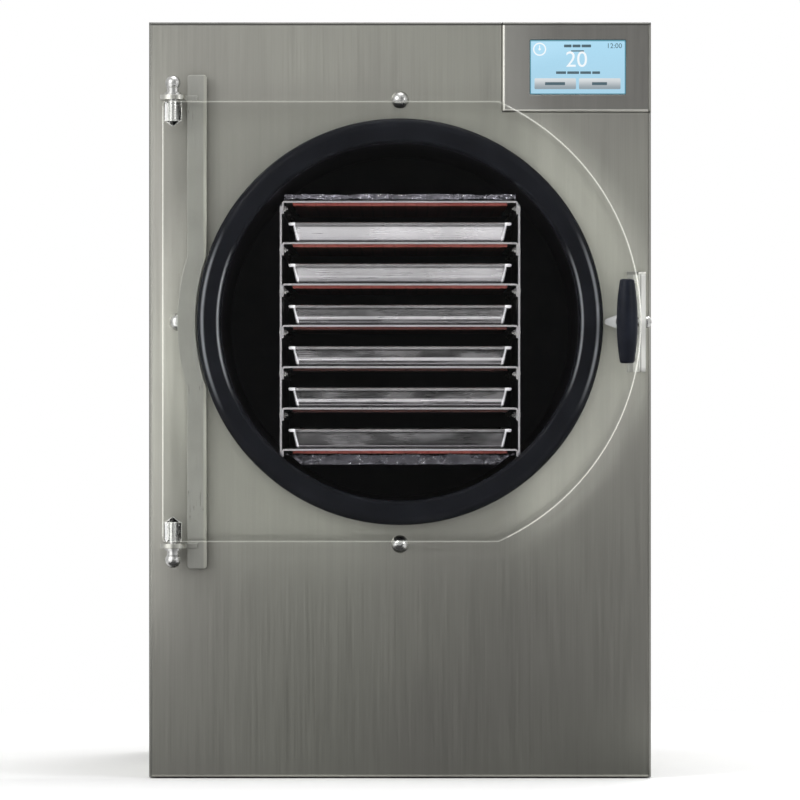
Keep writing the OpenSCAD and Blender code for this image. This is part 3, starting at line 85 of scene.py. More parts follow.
def tint(name, about, default):
    """A colour that a user may change."""
    return bpy.props.FloatVectorProperty(name=name, description=about, subtype="COLOR", size=3, min=0, max=1,
                                         default=default)


def amount(name, about, default, top, low=0.0, unit="LENGTH"):
    """A number that a user may change."""
    return bpy.props.FloatProperty(name=name, description=about, unit=unit, min=low, max=top,
                                   default=default)


class DryerFinishes(bpy.types.PropertyGroup):
    """Colours and roughness of the dryer's surfaces."""

    steel: tint("Cabinet steel", "Colour of the brushed sheets", (0.40, 0.40, 0.355))
    steel_shade: tint("Steel shade", "Darker tone in the cloudy areas of the sheets", (0.29, 0.285, 0.26))
    steel_roughness: amount("Steel roughness", "Mean roughness of the brushed sheets", 0.36, 1.0, unit="NONE")
    rubber: tint("Gasket rubber", "Colour of the door's ring and the feet", (0.012, 0.013, 0.017))
    grip: tint("Grip", "Colour of the moulded door grip", (0.0045, 0.0055, 0.009))
    heater: tint("Heater mats", "Colour of the silicone mats under the shelves", (0.34, 0.075, 0.06))
    sky: tint("Screen", "Colour of the lit screen", (0.40, 0.69, 0.87))
    foil: tint("Foil", "Colour of the foil blankets", (0.15, 0.145, 0.17))


class DryerSizes(bpy.types.PropertyGroup):
    """Sizes of the small pieces that are fitted here, and the strength of the light."""

    foil_relief: amount("Foil relief", "Depth of the folds in the foil blankets", 0.0035, 0.006)
    mat_cover: amount("Mat cover", "How far a heater mat's skin stands outside its core", 0.0002, 0.001)
    head_width: amount("Screw head", "Diameter of the strike's screw heads", 0.007, 0.012, 0.003)
    screen_step: amount("Screen step", "Thickness of each layer drawn on the screen", 0.00008, 0.0005,
                        0.00001)
    key_power: amount("Key light", "Power of the large soft light at the left", 62.0, 500.0, unit="POWER")
    fill_power: amount("Fill light", "Power of the soft light at the right", 30.0, 500.0, unit="POWER")
    card_glow: amount("Left card", "Brightness of the white card that the sheets mirror at the left", 2.1,
                      10.0, unit="NONE")
    top_power: amount("Top light", "Power of the soft lights above and behind", 36.0, 500.0, unit="POWER")


def finishes():
    """The colours of this scene."""
    return bpy.context.scene.dryer_finishes


def sizes():
    """The sizes of this scene."""
    return bpy.context.scene.dryer_sizes


# ---------------------------------------------------------------- node trees

def feed(node, feeds):
    """Gives a node's inputs their values or links; an underscore stands for a space in a name."""
    for key, value in feeds.items():
        target = node.inputs[key.replace("_", " ") if isinstance(key, str) else key]
        source = getattr(value, "socket", value)
        if isinstance(source, bpy.types.NodeSocket):
            node.id_data.links.new(source, target)
        else:
            target.default_value = value


def put(tree, kind, feeds=None, **settings):
    """Adds a node, sets its properties, and feeds its inputs."""
    node = tree.nodes.new(kind)
    for key, value in settings.items():
        setattr(node, key, value)
    feed(node, feeds or {})
    return node


def take(tree, kind, feeds=None, output=0, **settings):
    """Adds a node and returns one of its outputs."""
    return Wire(put(tree, kind, feeds, **settings).outputs[output])


class Wire:
    """An output in a node tree. Each sum or method adds the node that works it out."""

    def __init__(self, socket):
        self.socket = socket
        self.tree = socket.id_data

    def calc(self, operation, other=0.0, clamp=False):
        """A Math node with this value first."""
        return take(self.tree, "ShaderNodeMath", {0: self, 1: other}, operation=operation, use_clamp=clamp)

    def __rsub__(self, first):
        return take(self.tree, "ShaderNodeMath", {0: first, 1: self}, operation="SUBTRACT")

    __add__ = functools.partialmethod(calc, "ADD")
    __sub__ = functools.partialmethod(calc, "SUBTRACT")
    __mul__ = functools.partialmethod(calc, "MULTIPLY")
    __truediv__ = functools.partialmethod(calc, "DIVIDE")
    __mod__ = functools.partialmethod(calc, "FLOORED_MODULO")
    __pow__ = functools.partialmethod(calc, "POWER")
    __abs__ = functools.partialmethod(calc, "ABSOLUTE")
    root = functools.partialmethod(calc, "SQRT")
    most = functools.partialmethod(calc, "MAXIMUM")

    def eased(self, low, high, to_low=0.0, to_high=1.0, kind="SMOOTHSTEP"):
        """This value carried from one range to another, softly at both ends."""
        return take(self.tree, "ShaderNodeMapRange", {0: self, 1: low, 2: high, 3: to_low, 4: to_high},
                    interpolation_type=kind)

    line = functools.partialmethod(eased, kind="LINEAR")

    def blend(self, a, b):
        """A mix of two colours, with this value as the share of the second."""
        return take(self.tree, "ShaderNodeMix", {0: self, 6: a, 7: b}, 2, data_type="RGBA")

    def vector(self, operation, other, at=1):
        """A Vector Math node with this vector first."""
        return take(self.tree, "ShaderNodeVectorMath", {0: self, at: other}, operation=operation)

    def scaled(self, level):
        """This colour or vector times a number."""
        return self.vector("SCALE", level, 3)

    def noise(self, scale, detail=2.0, rough=0.5, output=0):
        """Noise from 0 to 1, read at this place."""
        return take(self.tree, "ShaderNodeTexNoise",
                    {"Vector": self, "Scale": scale, "Detail": detail, "Roughness": rough}, output)

    def cells(self, scale, output=0):
        """Distance to the nearest cell's middle, or the cell's colour, read at this place."""
        return take(self.tree, "ShaderNodeTexVoronoi", {"Vector": self, "Scale": scale}, output)

    def wave(self, scale, axis="X"):
        """Stripes across an axis, read at this place."""
        return take(self.tree, "ShaderNodeTexWave", {"Vector": self, "Scale": scale}, 1,
                    bands_direction=axis)


def normal(tree):
    """The surface's own normal."""
    return take(tree, "ShaderNodeNewGeometry", output="Normal")


def upward(tree):
    """How far a surface faces up."""
    return take(tree, "ShaderNodeSeparateXYZ", {0: normal(tree)}, 2)


def ray(tree, kind):
    """Whether a ray is of one kind."""
    return take(tree, "ShaderNodeLightPath", output=f"Is {kind} Ray")


def by_name(sockets):
    """A node's outputs as wires, each under its name."""
    return SimpleNamespace(**{socket.name.replace(" ", "_"): Wire(socket)
                              for socket in sockets if socket.name})


def new_effect(name, outputs, **inputs):
    """An empty node group with named sockets: its tree, and its inputs as wires."""
    tree = bpy.data.node_groups.new(name, "ShaderNodeTree")
    for label, value in inputs.items():
        kind = "Float" if isinstance(value, float) else {3: "Vector", 4: "Color"}[len(value)]
        tree.interface.new_socket(label.replace("_", " "), in_out="INPUT",
                                  socket_type="NodeSocket" + kind).default_value = value
    for label in outputs:
        kind = {"Colour": "Color", "Normal": "Vector"}.get(label, "Float")
        tree.interface.new_socket(label, in_out="OUTPUT", socket_type="NodeSocket" + kind)
    return tree, by_name(tree.nodes.new("NodeGroupInput").outputs)


def give(tree, **results):
    """Feeds a group's results to its output node."""
    put(tree, "NodeGroupOutput", results)
    return tree


def grey(value):
    """A grey colour."""
    return (value, value, value, 1.0)


def rgba(colour, level=1.0):
    """A colour property times a level, as the four numbers that a socket takes."""
    return (*(part * level for part in colour), 1.0)


# Shared effects: each is built the first time that a finish asks for it.

ORIGIN = (0, 0, 0)
SKIN = ("Colour", "Roughness", "Height")


@functools.cache
def brushed_grain():
    """Fine strokes of a brushed sheet, over soft cloudy areas."""
    tree, given = new_effect("brushed_grain", SKIN, Vector=ORIGIN, Strokes=(900, 900, 9), Colour=grey(0.4),
                             Shade=grey(0.3), Cloud_Scale=3.0, Smooth=0.28, Rough=0.45)
    fine_at = given.Vector.vector("MULTIPLY", given.Strokes)
    fine = fine_at.noise(1.0, 3.0, 0.6)
    wide = fine_at.vector("MULTIPLY", (0.13, 0.13, 0.13)).noise(1.0)
    cloud = given.Vector.noise(given.Cloud_Scale, 2.0, 0.45)
    tone = cloud.eased(0.34, 0.66).blend(given.Colour, given.Shade)
    return give(tree, Colour=tone.scaled((fine * 0.6 + wide * 0.4).eased(0.3, 0.7, 0.955, 1.045)),
                Roughness=(fine * 0.4 + cloud * 0.6).line(0.3, 0.7, given.Smooth, given.Rough), Height=fine)


@functools.cache
def rounded_edge():
    """Where a surface meets an edge: a mask, used for wear on steel and for the door's painted edge glow, and
    a normal that rounds the edge over.
    """
    tree, given = new_effect("rounded_edge", ("Edge", "Normal"), Radius=0.0006)
    bevel = take(tree, "ShaderNodeBevel", {"Radius": given.Radius}, samples=4)
    same = take(tree, "ShaderNodeVectorMath", {0: bevel, 1: normal(tree)}, "Value", operation="DOT_PRODUCT")
    return give(tree, Edge=same.eased(0.97, 0.80), Normal=bevel)


@functools.cache
def settled_dust():
    """Thin dust that lies on what faces up, and a faint film elsewhere."""
    tree, given = new_effect("settled_dust", ("Colour", "Roughness", "Mask"), Vector=ORIGIN,
                             Colour=grey(0.1), Dust=(0.42, 0.4, 0.37, 1), Roughness=0.4, Amount=0.3)
    patches = given.Vector.noise(38.0, 5.0, 0.62)
    specks = given.Vector.noise(900.0, 2.0, 0.6).eased(0.62, 0.78)
    lying = upward(tree).eased(0.35, 0.95) * patches.eased(0.38, 0.7)
    mask = (lying * 0.8 + specks * 0.16).calc("MULTIPLY", given.Amount, clamp=True)
    return give(tree, Colour=mask.blend(given.Colour, given.Dust),
                Roughness=mask.line(0.0, 1.0, given.Roughness, 0.85), Mask=mask)


@functools.cache
def moulded_grit():
    """The fine spark-eroded texture of moulded plastic and rubber, with slight tone changes."""
    tree, given = new_effect("moulded_grit", SKIN, Vector=ORIGIN, Colour=grey(0.03), Light=grey(0.05),
                             Grit_Scale=1400.0, Smooth=0.35, Rough=0.5)
    grit = given.Vector.noise(given.Grit_Scale)
    smear = given.Vector.noise(24.0, 4.0, 0.6)
    return give(tree, Colour=smear.eased(0.35, 0.75).blend(given.Colour, given.Light),
                Roughness=(smear * 0.7 + grit * 0.3).line(0.3, 0.7, given.Smooth, given.Rough), Height=grit)


@functools.cache
def crinkle():
    """Sharp creases and flat facets of crushed foil, with bright specks that serve as painted glints."""
    tree, given = new_effect("crinkle", ("Height", "Flecks"), Vector=ORIGIN, Facet_Scale=90.0)
    swirl = given.Vector.noise(45.0, 3.0, output=1)
    bent = swirl.scaled(0.014).vector("ADD", given.Vector)
    facets = bent.cells(given.Facet_Scale) * 0.7 + bent.cells(given.Facet_Scale * 3.1) * 0.3
    return give(tree, Height=facets, Flecks=bent.noise(330.0, 3.0, 0.7).eased(0.60, 0.70))


@functools.cache
def tarnish():
    """Patches of oxide on drawn or turned metal."""
    tree, given = new_effect("tarnish", SKIN, Vector=ORIGIN, Colour=(0.8, 0.4, 0.25, 1),
                             Oxide=(0.3, 0.14, 0.09, 1), Patch_Scale=30.0, Smooth=0.22, Rough=0.5)
    mask = given.Vector.noise(given.Patch_Scale, 5.0, 0.6).eased(0.42, 0.68)
    return give(tree, Colour=mask.blend(given.Colour, given.Oxide),
                Roughness=mask.line(0.0, 1.0, given.Smooth, given.Rough), Height=given.Vector.noise(1200.0))


class Finish:
    """A material in the making: one Principled shader fed with effects read from Object coordinates."""

    def __init__(self, name, **plain):
        packed = bpy.data.materials.get(name)
        if packed:
            packed.name = "packed_" + name
        self.material = bpy.data.materials.new(name)
        self.material.use_nodes = True
        self.tree = self.material.node_tree
        self.tree.nodes.clear()
        self.shader = put(self.tree, "ShaderNodeBsdfPrincipled", plain)
        self.out = put(self.tree, "ShaderNodeOutputMaterial", {0: self.shader.outputs[0]})
        self.at = take(self.tree, "ShaderNodeTexCoord", output="Object")

    @functools.cached_property
    def axes(self):
        """The Object coordinate's X, Y and Z."""
        return [Wire(socket) for socket in put(self.tree, "ShaderNodeSeparateXYZ", {0: self.at}).outputs]

    @property
    def reach(self):
        """Distance from the line through the chamber's middle."""
        x, _, z = self.axes
        above = z - AXIS_Z
        return (x * x + above * above).root()

    def add(self, effect, **inputs):
        """Places a shared effect and returns its outputs by name."""
        node = put(self.tree, "ShaderNodeGroup", node_tree=effect())
        if "Vector" in node.inputs:
            inputs["Vector"] = self.at
        feed(node, inputs)
        return by_name(node.outputs)

    def surface(self, colour, rough, height=None, depth=0.0, strength=1.0, radius=None, under=None,
                dust=None, **more):
        """Feeds the shader: a colour and a roughness, under dust if an amount is given, and a height, with
        its depth in metres and its strength, over a normal or over edges rounded by a radius. Returns the
        material."""
        if dust is not None:
            film = self.add(settled_dust, Colour=colour, Roughness=rough, Amount=dust)
            colour, rough = film.Colour, film.Roughness
        if radius is not None:
            under = self.add(rounded_edge, Radius=radius).Normal
        if height is not None:
            relief = {"Height": height, "Distance": depth, "Strength": strength}
            if under is not None:
                relief["Normal"] = under
            more["Normal"] = take(self.tree, "ShaderNodeBump", relief)
        feed(self.shader, {"Base Color": colour, "Roughness": rough, **more})
        return self.material

    def crossed(self, share, other):
        """Lets another shader take a share of the surface."""
        mixed = take(self.tree, "ShaderNodeMixShader", {0: share, 1: self.shader.outputs[0], 2: other})
        feed(self.out, {0: mixed})
        return self.material


# ---------------------------------------------------------------- finishes

WORN = (0.74, 0.74, 0.70, 1)      # steel rubbed bright along its edges
# painted shade for the front sheet's side and top folds
PAINTED_SHADE_SIDE = (0.17, 0.17, 0.155, 1)
PAINTED_SHADE_TOP = (0.07, 0.07, 0.065, 1)
FOLD_WIDE = 0.0036
FOLD_SOFT = 0.0006


def brushed_steel(name, strokes, colour=None, shade=None, rough=None, cloud=3.0, dust=0.25, wear=0.5,
                  painted_bands=(), fold=False):
    """Satin stainless sheet with its strokes along one axis, rounded edges and a little dust.
    A band is a stripe of painted highlight or painted shade: it names an axis, the place where it starts,
    the place from which it has its own tone in full, and that tone. With the front flag set, the front
    sheet's outer folds get painted shade and the area round the gasket gets painted light."""
    look = finishes()
    rough = rough or look.steel_roughness
    made = Finish(name, Metallic=1.0)
    grain = made.add(brushed_grain, Strokes=strokes, Colour=rgba(colour or look.steel),
                     Shade=rgba(shade or look.steel_shade), Cloud_Scale=cloud, Smooth=rough - 0.07,
                     Rough=rough + 0.08)
    edge = made.add(rounded_edge, Radius=0.0007)
    tone = (edge.Edge * wear).blend(grain.Colour, WORN)
    # each band paints a stripe of highlight or shade over the grain
    for axis, start, full, shown in painted_bands:
        tone = made.axes[axis].eased(start, full).blend(tone, rgba(shown))
    if fold:
        tone = front_painted_light_and_shade(made, tone)
    return made.surface(tone, grain.Roughness, grain.Height, 0.00003, 0.6, under=edge.Normal, dust=dust)


def front_painted_light_and_shade(made, tone):
    """Painted shade on the front sheet's outer folds, and painted light right and far left of the gasket,
    which fades out with distance from it."""
    x, y, z = made.axes
    side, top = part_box("front_panel")[1].x - FOLD_WIDE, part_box("front_panel")[1].z - FOLD_WIDE
    fore = y.eased(FRONT_Y + 0.005, FRONT_Y + 0.003)
    # painted shade along the outer side and top folds
    tone = (abs(x).eased(side, side + FOLD_SOFT) * fore).blend(tone, PAINTED_SHADE_SIDE)
    tone = (z.eased(top, top + FOLD_SOFT) * fore).blend(tone, PAINTED_SHADE_TOP)
    # painted light: the right-hand area, a little fainter above 0.6 m, and the strip beyond the hinge's bar
    right = x.eased(0.095, 0.17) * z.eased(0.68, 0.60, 0.8, 1.0)
    left = x.eased(-0.205, -0.235, 0.0, 0.65) * x.eased(-0.262, -0.254)
    painted_light_area = made.reach.eased(0.295, 0.245) * right.most(left)
    return tone.scaled((painted_light_area * fore).eased(0.0, 1.0, 1.0, 1.5))


def polished_metal(name, colour, shade, smooth, rough, scale=30.0):
    """Polished or turned metal with patches of handling marks."""
    made = Finish(name, Metallic=1.0)
    marks = made.add(tarnish, Colour=colour, Oxide=shade, Patch_Scale=scale, Smooth=smooth, Rough=rough)
    return made.surface(marks.Colour, marks.Roughness, marks.Height, 0.00001, 0.5, 0.0005)


def moulded(name, colour, light, grit=1400.0, smooth=0.35, rough=0.5, depth=0.00004, dust=0.2,
            strength=0.7, radius=0.0006, **plain):
    """Moulded plastic or rubber, or sprayed enamel with its orange peel."""
    made = Finish(name, **plain)
    skin = made.add(moulded_grit, Colour=colour, Light=light, Grit_Scale=grit, Smooth=smooth, Rough=rough)
    return made.surface(skin.Colour, skin.Roughness, skin.Height, depth, strength, radius, dust=dust)


def gasket_rubber():
    """Smooth black rubber, with painted highlight arcs along its inner lip and its outer shoulder at its left
    and right sides.
    """
    made = Finish("gasket_rubber", Specular_IOR_Level=0.03)
    skin = made.add(moulded_grit, Colour=rgba(finishes().rubber, 0.5), Light=(0.009, 0.0097, 0.0127, 1),
                    Grit_Scale=3200.0, Smooth=0.16, Rough=0.27)
    reach = made.reach
    beside = abs(made.axes[0]) / reach
    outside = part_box("door_gasket")[1].x
    tone = skin.Colour
    # painted highlights: two pale arcs, strongest towards the left and right sides
    for inward, width, start, highlight_tone in ((0.0224, 0.0021, 0.90, (0.21, 0.215, 0.23, 1)),
                                       (0.0058, 0.0026, 0.88, (0.17, 0.175, 0.19, 1))):
        place = outside - inward
        ring = reach.eased(place - width, place) * reach.eased(place + width, place)
        tone = (ring * beside.eased(start, 0.995)).blend(tone, highlight_tone)
    return made.surface(tone, skin.Roughness, skin.Height, 0.000002, 0.7, 0.0006)


def chamber_coat():
    """Black coat inside the drum, wearing through to bare steel on the mouth's outer flange."""
    made = Finish("chamber_coat", Specular_IOR_Level=0.25)
    bare = made.reach.eased(FLANGE, FLANGE + 0.0006) * made.axes[1].eased(MOUTH_Y, MOUTH_Y - 0.0005)
    skin = made.add(moulded_grit, Colour=(0.085, 0.078, 0.1, 1), Light=(0.105, 0.097, 0.124, 1),
                    Grit_Scale=700.0, Smooth=0.42, Rough=0.6)
    grain = made.add(brushed_grain, Strokes=(400, 400, 400), Colour=(0.55, 0.55, 0.52, 1),
                     Shade=(0.42, 0.42, 0.4, 1), Smooth=0.3, Rough=0.4)
    rough = take(made.tree, "ShaderNodeMix", {0: bare, 2: skin.Roughness, 3: grain.Roughness},
                 data_type="FLOAT")
    return made.surface(bare.blend(skin.Colour, grain.Colour), rough, skin.Height, 0.00012, 0.5,
                        Metallic=bare)


def heater_skin():
    """Red-brown silicone over a woven core, with the buried wire showing as a faint long zigzag. Painted
    light makes the mats brighter the higher they hang, and the lowest one brighter still, as if lit by the
    foil below it."""
    made = Finish("heater_silicone", Specular_IOR_Level=0.4)
    cloth = made.at.wave(260.0) * made.at.wave(260.0, "Y")
    wire = made.at.wave(26.0).eased(0.86, 0.97)
    skin = made.add(moulded_grit, Colour=rgba(finishes().heater), Light=(0.42, 0.13, 0.11, 1),
                    Grit_Scale=500.0, Smooth=0.5, Rough=0.68)
    woven = (wire * 0.35).blend(skin.Colour, (0.2, 0.03, 0.02, 1))
    z = made.axes[2]
    # painted light: brighter with height, and on the lowest mat from the foil below
    climb = z.eased(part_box(SHELVES[-2])[1].z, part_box(SHELVES[1])[0].z) ** 1.9
    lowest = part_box(SHELVES[-1])[1].z
    light = climb.eased(0.0, 1.0, 0.16, 1.1).most(z.eased(lowest, lowest + 0.01, 1.5, 0.0))
    return made.surface(woven.scaled(light), skin.Roughness, cloth * 0.4 + wire, 0.0002, 0.8)


def shelf_steel():
    """Satin shelf and rack sheet, with the red-brown core of the fused mats beneath each shelf."""
    made = Finish("shelf_steel")
    half = MAT_WIDTH / 2
    mat = upward(made.tree).eased(-0.9, -0.98) * abs(made.axes[0]).eased(half + 0.0003, half + 0.0001)
    grain = made.add(brushed_grain, Strokes=(900, 9, 900), Colour=(0.66, 0.64, 0.665, 1),
                     Shade=(0.52, 0.505, 0.525, 1), Cloud_Scale=6.0, Smooth=0.26, Rough=0.42)
    film = made.add(settled_dust, Colour=grain.Colour, Roughness=grain.Roughness, Amount=0.15)
    return made.surface(mat.blend(film.Colour, rgba(finishes().heater)), film.Roughness, grain.Height,
                        0.00003, 0.5, 0.0005, Metallic=1.0 - mat)


def crushed_foil():
    """Foil pressed over batting: sharp facets, painted glints as bright flecks, painted shade in the valleys,
    and painted light that grows with height.
    """
    foil = finishes().foil
    made = Finish("crushed_foil", Metallic=1.0)
    folds = made.add(crinkle, Facet_Scale=85.0)
    # painted shade in the valleys
    tone = folds.Height.eased(0.1, 0.6).blend(rgba(foil, 0.3), rgba(foil))
    # painted glints
    bright = folds.Flecks.blend(tone, (0.7, 0.7, 0.72, 1))
    # painted light: brighter higher up
    level = made.axes[2].eased(RACK_LOW.z, RACK_HIGH.z, 0.5, 1.15)
    rough = made.at.noise(60.0, 3.0).line(0.3, 0.7, 0.16, 0.36)
    return made.surface(bright.scaled(level), rough, folds.Height, 0.004)


def galvanised():
    """Zinc-coated sheet with its flower-like crystals."""
    made = Finish("galvanised_sheet", Metallic=0.85)
    flake = take(made.tree, "ShaderNodeSeparateColor", {0: made.at.cells(75.0, 1)})
    tone = flake.blend((0.36, 0.37, 0.38, 1), (0.56, 0.57, 0.58, 1))
    film = made.add(settled_dust, Colour=tone, Roughness=0.42, Amount=0.5)
    return made.surface(film.Colour, flake * 0.16 + film.Roughness * 0.8, made.at.noise(300.0, 3.0),
                        0.00006, 0.5, 0.0006)


def coil_fins(name, pack=None):
    """Bare aluminium with a dull film; where tubes stand out of the fin pack they are copper."""
    made = Finish(name, Metallic=1.0)
    grain = made.add(brushed_grain, Strokes=(40, 900, 40), Colour=(0.62, 0.63, 0.65, 1),
                     Shade=(0.44, 0.45, 0.47, 1), Cloud_Scale=9.0, Smooth=0.34, Rough=0.5)
    colour = grain.Colour
    if pack is not None:
        front, back = pack
        x, y, _ = made.axes
        before = y.eased(front, front - 0.0006)
        copper = before.calc("ADD", y.eased(back, back + 0.0006), clamp=True)
        aged = made.add(tarnish, Colour=(0.74, 0.37, 0.22, 1), Oxide=(0.32, 0.15, 0.09, 1))
        colour = copper.most(x.eased(PACK_LEFT, PACK_LEFT + 0.0004)).blend(colour, aged.Colour)
    return made.surface(colour, grain.Roughness, grain.Height, 0.00003, 0.4, dust=0.6)


def insulation_foam():
    """Cream closed-cell foam with a skin and small pores, with painted shade in the pores."""
    made = Finish("insulation_foam", Specular_IOR_Level=0.25)
    pores = made.at.cells(420.0)
    blotch = made.at.noise(14.0, 4.0)
    tone = blotch.eased(0.35, 0.7).blend((0.62, 0.58, 0.44, 1), (0.5, 0.44, 0.3, 1))
    # painted shade in the pores
    return made.surface(pores.eased(0.16, 0.04).blend(tone, (0.34, 0.29, 0.19, 1)),
                        pores.eased(0.0, 0.6, 0.75, 0.92), pores + blotch * 4.0, 0.0006, 0.8)


def circuit_green():
    """Green lacquered board with fine tracks; the parts that stand off it are black."""
    made = Finish("circuit_green")
    upright = take(made.tree, "ShaderNodeMapping", {0: made.at, 2: (math.pi / 2, 0, 0)})
    tracks = take(made.tree, "ShaderNodeTexBrick", {"Vector": upright, "Scale": 420.0,
                                                    "Mortar Size": 0.03}, 1)
    board = tracks.blend((0.014, 0.11, 0.045, 1), (0.03, 0.2, 0.085, 1))
    off = made.axes[1].eased(BOARD_BACK + 0.0001, BOARD_BACK + 0.0003)
    skin = made.add(moulded_grit, Colour=(0.012, 0.012, 0.013, 1), Light=grey(0.03))
    return made.surface(off.blend(board, skin.Colour), skin.Roughness, tracks + skin.Height, 0.00003, 0.6)


def turned_brass():
    """Turned brass; the nipple's last stretch is cut with a fine thread."""
    made = Finish("turned_brass", Metallic=1.0)
    y = made.axes[1]
    start, end = THREAD
    cut = y.eased(start, start + 0.0005) * y.eased(end, end - 0.0005)
    thread = (y * 1000.0).calc("PINGPONG", 0.6) * cut
    aged = made.add(tarnish, Colour=(0.80, 0.58, 0.25, 1), Oxide=(0.42, 0.27, 0.11, 1), Patch_Scale=45.0,
                    Smooth=0.2, Rough=0.42)
    return made.surface(aged.Colour, aged.Roughness, thread + aged.Height * 0.03, 0.0006, 1.0, 0.0005)


def clear_acrylic():
    """Clear cast sheet: lamps pass through it, its faces are faintly clouded, and its cut edges have a
    painted glow, dimmer along the top and bottom."""
    made = Finish("clear_acrylic", Transmission_Weight=1.0, IOR=1.49, Emission_Strength=1.0)
    edge = made.add(rounded_edge, Radius=0.0028)
    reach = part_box("door_plate")[1].z - AXIS_Z
    # painted glow along the cut edges, dimmer at the top and bottom
    glow = abs(made.axes[2] - AXIS_Z).eased(reach - 0.006, reach - 0.004).blend(
        (0.5, 0.5, 0.47, 1), (0.20, 0.20, 0.185, 1))
    made.surface(made.at.noise(9.0, 3.0).blend((0.965, 0.968, 0.958, 1), (0.945, 0.952, 0.942, 1)), 0.0,
                 Emission_Color=edge.Edge.blend(grey(0.0), glow))
    clear = take(made.tree, "ShaderNodeBsdfTransparent", {0: (0.95, 0.96, 0.955, 1)})
    return made.crossed(ray(made.tree, "Shadow"), clear)


def glowing(name, colour, low=None, strength=0.9, span=None):
    """A lit layer of the screen, from one colour at its head to another at its foot."""
    made = Finish(name, Emission_Strength=strength)
    foot, head = span or [corner.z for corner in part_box("touch_screen")]
    tone = made.axes[2].eased(head, foot).blend(colour, low or colour)
    grid = made.at.noise(2600.0, 1.0).eased(0.2, 0.8, 0.97, 1.03)
    return made.surface(grey(0.02), 0.22, Emission_Color=tone.scaled(grid))


def screen_glass():
    """Dark glass round and behind the lit layers."""
    made = Finish("screen_glass", Coat_Weight=0.6, Coat_Roughness=0.05)
    smear = made.at.noise(60.0, 4.0, 0.6)
    return made.surface(smear.blend((0.012, 0.02, 0.024, 1), (0.02, 0.03, 0.036, 1)),
                        smear.eased(0.3, 0.7, 0.08, 0.2))


def tray_steel():
    """Drawn sheet with a soft sheen, with painted light and shade up each tray: a painted dark line at the
    foot, a painted pale foot, a clouded wall with a painted highlight stripe low on it, a painted dark seam
    and painted grey shade on the rolled rim; higher trays have brighter painted walls, and the corners
    where the sides meet the front have a painted highlight that also glows."""
    made = Finish("tray_steel", Emission_Strength=1.0)
    x, y, z = made.axes
    grain = made.add(brushed_grain, Strokes=(14, 900, 900), Colour=(0.73, 0.71, 0.74, 1),
                     Shade=(0.585, 0.57, 0.595, 1), Cloud_Scale=16.0, Smooth=0.2, Rough=0.34)
    film = made.add(settled_dust, Colour=grain.Colour, Roughness=grain.Roughness, Amount=0.1)
    top_low, top_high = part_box("tray_1")
    bottom_low, bottom_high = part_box("tray_6")
    height = (z - bottom_low.z) % (top_low.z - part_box("tray_2")[0].z)
    tall = top_high.z - top_low.z
    # painted shade: a dark seam under the rolled rim
    painted_seam_shade = height.eased(tall - 0.0052, tall - 0.0046) * height.eased(tall - 0.0030, tall - 0.0034)
    # painted highlight: a lit stripe low on the wall
    painted_stripe = height.eased(0.0105, 0.0085) * height.eased(0.0052, 0.0070)
    cloud = take(made.tree, "ShaderNodeMapping", {0: made.at, 3: (1, 1, 3)}).noise(20.0)
    # painted shade on the walls, lifted for higher trays
    painted_wall_shade = cloud.eased(0.35, 0.7, 0.06, 0.3).most(z.eased(bottom_high.z, top_low.z) ** 4.5)
    painted_shine = painted_stripe * z.eased(bottom_high.z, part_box("tray_5")[0].z, 0.1, 0.85)
    # painted light: the stripe and a pale foot
    painted_wall_tone = painted_wall_shade.most(painted_shine + height.eased(0.0042, 0.0034, 0.0, 0.6))
    # painted shade in a dark line at the foot
    foot = height.eased(0.0018, 0.0036, 0.35, 1.0)
    # painted grey shade on the rim
    painted_rim_shade = height.eased(tall - 0.0034, tall - 0.0031)
    shade = painted_rim_shade.blend(painted_wall_tone * foot, grey(0.42)) * (1.0 - painted_seam_shade * 0.6)
    # painted highlight, glowing too, where the sides meet the front
    out = abs(x) + height.eased(0.0, tall, 0.004, 0.0)
    corner = y.eased(top_low.y + 0.012, top_low.y + 0.008) * out.eased(top_high.x - 0.0085,
                                                                      top_high.x - 0.0068)
    return made.surface(corner.blend(film.Colour.scaled(shade), (0.9, 0.89, 0.92, 1)), film.Roughness,
                        grain.Height, 0.00004, 0.5, 0.0008, Metallic=0.72 - corner * 0.6,
                        Emission_Color=corner.blend(grey(0.0), (0.30, 0.30, 0.31, 1)))


def dress(material, *names):
    """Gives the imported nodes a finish; their meshes stay as they are."""
    for name in names:
        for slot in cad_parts[name].material_slots:
            slot.material = material


# ---------------------------------------------------------------- modelling

def choose_nothing():
    """Back to object mode with nothing chosen, so that a tool acts only on what comes next."""
    if bpy.context.mode != "OBJECT":
        bpy.ops.object.mode_set(mode="OBJECT")
    bpy.ops.object.select_all(action="DESELECT")


def choose(*pieces):
    """Chooses whole pieces; the last one is active."""
    choose_nothing()
    for piece in pieces:
        piece.select_set(True)
        bpy.context.view_layer.objects.active = piece


def settle(name):
    """Puts the active piece's place, turn and size into its mesh, and names it."""
    bpy.ops.object.transform_apply(location=True, rotation=True, scale=True)
    piece = bpy.context.object
    piece.name = piece.data.name = name
    return piece


def join(name, *pieces):
    """Joins pieces as one."""
    choose(*pieces)
    bpy.ops.object.join()
    return settle(name)


def block(name, low, high):
    """A box between two corners, as a start."""
    choose_nothing()
    low = Vector(low)
    high = Vector(high)
    bpy.ops.mesh.primitive_cube_add(size=1, location=(low + high) / 2, scale=high - low)
    return settle(name)


def rod(name, width, low, high, axis="Y", sides=24, at=(0, 0)):
    """A round bar along an axis between two places on it, as a start."""
    choose_nothing()
    place = list(at)
    place.insert("XYZ".index(axis), (low + high) / 2)
    turn = {"X": (0, math.pi / 2, 0), "Y": (math.pi / 2, 0, 0)}[axis]
    bpy.ops.mesh.primitive_cylinder_add(vertices=sides, radius=width / 2, depth=high - low, location=place,
                                        rotation=turn)
    return settle(name)


